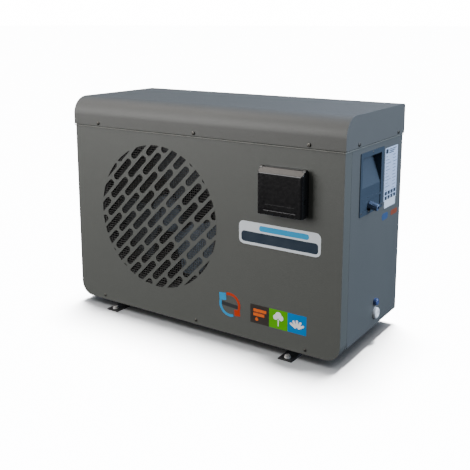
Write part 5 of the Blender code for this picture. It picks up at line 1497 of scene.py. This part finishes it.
@dataclass
class Labels:
    """Generic printed film: a plain badge, icons and a label of grey lines, with no lettering."""

    ring_x: float = 0.111
    ring_z: float = 0.081

    def build(self) -> None:
        """Builds all film."""
        self.badge()
        self.ring()
        self.squares()
        self.rating_label()
        self.flow_marks()

    def origin(self, face: Face) -> Vector:
        """Where a side's film is measured from.

        Args:
            face: the side.

        Returns:
            The middle of the front panel's lower edge, or the right side's front lower corner.
        """
        low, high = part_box("front_panel")
        if face is Face.FRONT:
            return Vector(((low.x + high.x) / 2, low.y, low.z))
        return Vector((high.x, low.y, low.z))

    def film(self, name: str, face: Face, low: tuple[float, float], high: tuple[float, float], finish: Finish,
             layer: int = 0, corner: float = 0.0, lean: float = 0.0) -> bpy.types.Object:
        """A flat film.

        Args:
            name: the piece's name.
            face: the side of the case that it is on.
            low: its lower left corner from that side's origin.
            high: its upper right corner.
            finish: its ink.
            layer: how many films lie under it.
            corner: the radius of its corners.
            lean: a turn of the film in its own plane, in degrees.

        Returns:
            The film.
        """
        start = self.origin(face)
        lift = SKIN * layer
        piece = block(name, (low[0], -SKIN - lift, low[1]), (high[0], -lift, high[1]))
        if corner:
            shape(piece, Pick.EDGE, lambda e: span(e, 1) > SKIN / 2, bevel(corner, 6))
        centre = Vector(((low[0] + high[0]) / 2, 0, (low[1] + high[1]) / 2))
        turn = about(centre, Matrix.Rotation(math.radians(lean), 4, "Y"))
        side = Matrix() if face is Face.FRONT else Matrix.Rotation(math.pi / 2, 4, "Z")
        piece.data.transform(Matrix.Translation(start) @ side @ turn)
        fit(piece, finish)
        return piece

    def badge(self) -> None:
        """A plain two-tone badge."""
        white, slate = ink("white_ink", "#EAF1F8"), ink("slate_ink", "#2C3A49")
        sky = ink("sky_ink", "#2FA6DC")
        self.film("badge_border", Face.FRONT, (0.140, 0.256), (0.372, 0.316), white, 0, 0.014)
        self.film("badge_field", Face.FRONT, (0.147, 0.263), (0.365, 0.290), slate, 1, 0.008)
        self.film("badge_stripe", Face.FRONT, (0.200, 0.295), (0.340, 0.309), sky, 1, 0.006)

    def arc(self, name: str, start: float, end: float, finish: Finish) -> None:
        """A curved bar of the round sticker, between two angles in degrees.

        Args:
            name: its name.
            start: its first angle.
            end: its last angle.
            finish: its ink.
        """
        centre = self.origin(Face.FRONT) + Vector((self.ring_x, 0, self.ring_z))
        deselect()
        bpy.ops.mesh.primitive_plane_add(size=1.0)
        piece = settle(name)
        shape(piece, Pick.VERT, lambda v: True, lambda: bpy.ops.mesh.subdivide(number_cuts=24))
        for vert in piece.data.vertices:
            angle = math.radians(start + (end - start) * (vert.co.x + 0.5))
            radius = 0.0295 + vert.co.y * 0.007
            x, z = radius * math.cos(angle), radius * math.sin(angle)
            vert.co = (centre.x + x, centre.y - SKIN, centre.z + z)
        modify(piece, "SOLIDIFY", thickness=SKIN * 0.9, offset=0)
        fit(piece, finish)

    def ring(self) -> None:
        """The round sticker: a blue and a red half ring, each with a square end."""
        blue, red = ink("blue_ink", "#2A9FDB"), ink("red_ink", "#C43A16")
        self.arc("ring_blue", 165, 290, blue)
        self.arc("ring_red", -40, 110, red)
        x, z = self.ring_x, self.ring_z
        # name, lower left and upper right from the sticker's middle, ink, corner and lean
        parts = (
            ("ring_blue_end", (-0.033, 0.009), (-0.012, 0.029), blue, 0.002, -6),
            ("ring_red_end", (0.014, -0.027), (0.032, -0.010), red, 0.002, -6),
            ("ring_bar", (-0.033, -0.006), (0.033, 0.004), ink("dark_ink", "#34383B"), 0.003, 4),
        )
        for name, low, high, finish, corner, lean in parts:
            near, far = (x + low[0], z + low[1]), (x + high[0], z + high[1])
            self.film(name, Face.FRONT, near, far, finish, 0, corner, lean)

    def squares(self) -> None:
        """Three squares with plain icons: a warm square, a tree and petals."""
        low, high = 0.049, 0.099
        tiles = (
            ("dark", 0.175, 0.231, "#3B3633"),
            ("green", 0.231, 0.285, "#56AE00"),
            ("blue", 0.285, 0.338, "#0080CC"),
        )
        for label, left, right, colour in tiles:
            finish = ink(f"{label}_tile_ink", colour)
            self.film(f"tile_{label}", Face.FRONT, (left, low), (right - 0.0004, high), finish)
        white, orange = ink("icon_white_ink", "#FFFFFF"), ink("icon_orange_ink", "#EE6A1E")
        for i, top in enumerate((0.088, 0.077)):
            near, far = (0.184, top - 0.008), (0.223 - i * 0.006, top)
            self.film(f"warm_bar_{i + 1}", Face.FRONT, near, far, orange, 1, 0.002)
        self.film("warm_dot", Face.FRONT, (0.190, 0.056), (0.199, 0.065), orange, 1, 0.0044)
        self.film("tree_stem", Face.FRONT, (0.2565, 0.056), (0.2595, 0.074), white, 1)
        crowns = ((0.258, 0.085, 0.009), (0.250, 0.079, 0.007), (0.266, 0.079, 0.007))
        for i, (x, z, r) in enumerate(crowns):
            near, far = (x - r, z - r), (x + r, z + r)
            self.film(f"tree_crown_{i + 1}", Face.FRONT, near, far, white, 1 + i, r * 0.99)
        for i, lean in enumerate((-60, -30, 0, 30, 60)):
            x = 0.3115 + math.sin(math.radians(lean)) * 0.013
            z = 0.062 + math.cos(math.radians(lean)) * 0.013
            near, far = (x - 0.0032, z - 0.010), (x + 0.0032, z + 0.010)
            self.film(f"petal_{i + 1}", Face.FRONT, near, far, white, 1 + i, 0.0031, lean)

    def rating_label(self) -> None:
        """A white label with rows of plain grey bars."""
        white, bright = ink("label_white", "#C9DAF4", 0.3), ink("label_bright", "#E6EEF8", 0.3)
        self.film("rating_label", Face.RIGHT, (0.237, 0.352), (0.321, 0.492), white, 0, 0.002)
        self.film("small_label", Face.RIGHT, (0.242, 0.333), (0.316, 0.360), bright, 1, 0.002)
        grey, dark = ink("label_grey", "#7C8CA2"), ink("label_dark", "#39434F")
        for i in range(11):
            z = 0.470 - i * 0.0088
            wide = 0.012 + 0.022 * ((i * 7) % 5) / 4
            for column, left, length in (("a", 0.244, wide), ("b", 0.290, 0.014 + wide / 3)):
                near, far = (left, z - 0.0018), (left + length, z)
                self.film(f"label_row_{i + 1}{column}", Face.RIGHT, near, far, grey, 1)
        for i in range(4):
            for j in range(2):
                x, z = 0.243 + i * 0.0195, 0.3675 - j * 0.0125
                far = (x + 0.014, z + 0.0095)
                self.film(f"label_box_{i + 1}_{j + 1}", Face.RIGHT, (x, z), far, dark, 2, 0.0015)
        for i in range(3):
            z = 0.4875 - i * 0.0045
            self.film(f"label_head_{i + 1}", Face.RIGHT, (0.262, z - 0.002), (0.312 - i * 0.009, z), dark, 1)
        self.film("label_head", Face.RIGHT, (0.242, 0.477), (0.257, 0.489), dark, 1, 0.002)

    def flow_marks(self) -> None:
        """Two small plain marks, blue for water in and red for water out."""
        blue, red = ink("mark_blue", "#3F5880"), ink("mark_red", "#8F4C38")
        self.film("water_in_mark", Face.RIGHT, (0.230, 0.303), (0.270, 0.321), blue, 0, 0.008)
        self.film("water_out_mark", Face.RIGHT, (0.289, 0.305), (0.335, 0.319), red, 0, 0.006)


# ---- studio ----
@dataclass
class Studio:
    """A pale floor, soft lights, a pale sky and the camera."""

    lens: float = 55.675
    drop: float = -0.15
    azimuth: float = 33.685
    pitch: float = 11.005
    sky_power: float = 0.45
    front_sky: str = "#C9C6C2"
    back_sky: str = "#C3D6F0"
    backdrop: float = 16.0
    fan_power: float = 75.0
    aim_height: float = 0.3
    eye: tuple[float, float, float] = (1.1201, -1.4895, 0.8248)
    # name, strength, angular size and the two tilts, in degrees
    FLOOR_LIGHTS = (("floor_light_wide", 1.5, 70, 0, 0), ("floor_light_near", 49.0, 20, -11, -5))
    # name, place, size, power in watts and colour
    PANELS = (
        ("front_light", (-2.4, -3.5, 1.8), 3.0, 212, "#FCFBFA"),
        ("upper_left_light", (-1.7, -0.6, 3.2), 1.8, 36, "#FFF5EA"),
        ("right_light", (3.6, 0.9, 1.6), 2.4, 225, "#CDDDF2"),
        ("top_light", (0.6, 2.0, 3.3), 3.0, 115, "#D6E3FA"),
    )

    def build(self) -> None:
        """Builds the studio."""
        self.floor()
        self.sky()
        self.lights()
        self.camera()

    def floor(self) -> None:
        """A large, plain, pale floor with its own even light, which doesn't bounce back onto the case."""
        deselect()
        bpy.ops.mesh.primitive_plane_add(size=400, location=(0, 0, -0.0002))
        floor = settle("studio_floor")
        paper = Finish("studio_paper", "", "#F6F7F8", 0.9, Grain.PRINTED, 400.0, 0.0, 0.0, 900)
        floor.data.materials.append(paper.make())
        floor.visible_diffuse = False
        floor.visible_glossy = False
        only_floor = bpy.data.collections.new("floor_only")
        only_floor.objects.link(floor)
        for name, power, spread, forward, right in self.FLOOR_LIGHTS:
            data = bpy.data.lights.new(name, "SUN")
            data.energy = power
            data.angle = math.radians(spread)
            light = bpy.data.objects.new(name, data)
            light.rotation_euler = (math.radians(forward), math.radians(right), 0)
            light.light_linking.receiver_collection = only_floor
            bpy.context.scene.collection.objects.link(light)

    def sky(self) -> None:
        """A dim sky, warm in front and cool behind, and a white backdrop that only the camera sees."""
        world = bpy.data.worlds.new("studio_sky")
        world.use_nodes = True
        tree = world.node_tree
        way = add_node(tree, "ShaderNodeTexCoord").outputs["Generated"]
        parts = add_node(tree, "ShaderNodeSeparateXYZ", {0: way})
        depth = add_node(tree, "ShaderNodeMapRange", {0: parts.outputs[1], 1: -0.7, 2: 0.7}).outputs[0]
        rise = {0: parts.outputs[2], 1: -0.2, 2: 0.5, 3: 0.12, 4: 1.0}
        height = add_node(tree, "ShaderNodeMapRange", rise).outputs[0]
        ends = {0: depth, 6: linear(self.front_sky), 7: linear(self.back_sky)}
        tone = add_node(tree, "ShaderNodeMix", ends, data_type="RGBA").outputs[2]
        strength = {0: height, 1: self.sky_power}
        power = add_node(tree, "ShaderNodeMath", strength, operation="MULTIPLY").outputs[0]
        lighting = add_node(tree, "ShaderNodeBackground", {"Color": tone, "Strength": power})
        white = {"Color": linear("#FFFFFF"), "Strength": self.backdrop}
        backdrop = add_node(tree, "ShaderNodeBackground", white)
        seen = add_node(tree, "ShaderNodeLightPath").outputs["Is Camera Ray"]
        mix = add_node(tree, "ShaderNodeMixShader", {0: seen, 1: lighting.outputs[0], 2: backdrop.outputs[0]})
        tree.links.new(mix.outputs[0], tree.nodes["World Output"].inputs["Surface"])
        bpy.context.scene.world = world

    def lights(self) -> None:
        """Soft panels for the case alone: warm in front and above left, cool on the right and above."""
        not_floor = bpy.data.collections.new("not_floor")
        not_floor.objects.link(bpy.data.objects["studio_floor"])
        not_floor.collection_objects[0].light_linking.link_state = "EXCLUDE"
        for name, place, size, power, colour in self.PANELS:
            data = bpy.data.lights.new(name, "AREA")
            data.size = size
            data.energy = power
            data.color = linear(colour)[:3]
            light = bpy.data.objects.new(name, data)
            light.location = place
            aim = Vector((0, 0, self.aim_height)) - Vector(place)
            light.rotation_euler = aim.to_track_quat("-Z", "Y").to_euler()
            light.light_linking.receiver_collection = not_floor
            bpy.context.scene.collection.objects.link(light)
        self.fan_light()

    def fan_light(self) -> None:
        """A narrow light that picks out the lower right of the fan behind its mesh."""
        low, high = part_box("fan_rotor")
        target = (low + high) / 2 + Vector((0.070, 0, -0.090))
        place = target + Vector((-0.5, -1.6, 0.7))
        data = bpy.data.lights.new("fan_light", "SPOT")
        data.energy = self.fan_power
        data.spot_size = math.radians(9)
        data.spot_blend = 0.7
        data.shadow_soft_size = 0.05
        data.color = linear("#CFE0F0")[:3]
        light = bpy.data.objects.new("fan_light", data)
        light.location = place
        light.rotation_euler = (target - place).to_track_quat("-Z", "Y").to_euler()
        bpy.context.scene.collection.objects.link(light)
        only_fan = bpy.data.collections.new("only_fan")
        only_fan.objects.link(bpy.data.objects["fan"])
        light.light_linking.receiver_collection = only_fan
        light.light_linking.blocker_collection = only_fan

    def camera(self) -> None:
        """The camera, from the front right and a little above."""
        low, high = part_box("front_panel")
        data = bpy.data.cameras.new("camera")
        data.lens = self.lens
        data.sensor_width = 36
        data.shift_y = self.drop
        camera = bpy.data.objects.new("camera", data)
        camera.location = ((low.x + high.x) / 2 + self.eye[0], low.y + self.eye[1], self.eye[2])
        camera.rotation_euler = (math.radians(90 - self.pitch), 0, math.radians(self.azimuth))
        bpy.context.scene.collection.objects.link(camera)
        bpy.context.scene.camera = camera


def main() -> None:
    """Builds each sub-assembly in order."""
    logging.basicConfig(level=logging.INFO, format="%(message)s")
    for part in (SheetCase(), Screws(), FanSide(), RearGuard(), Controls(), SideFittings(), WaterFittings(),
                 Underside(), Labels(), Studio()):
        part.build()
        LOG.info("%s done", type(part).__name__)


if __name__ == "__main__":
    main()
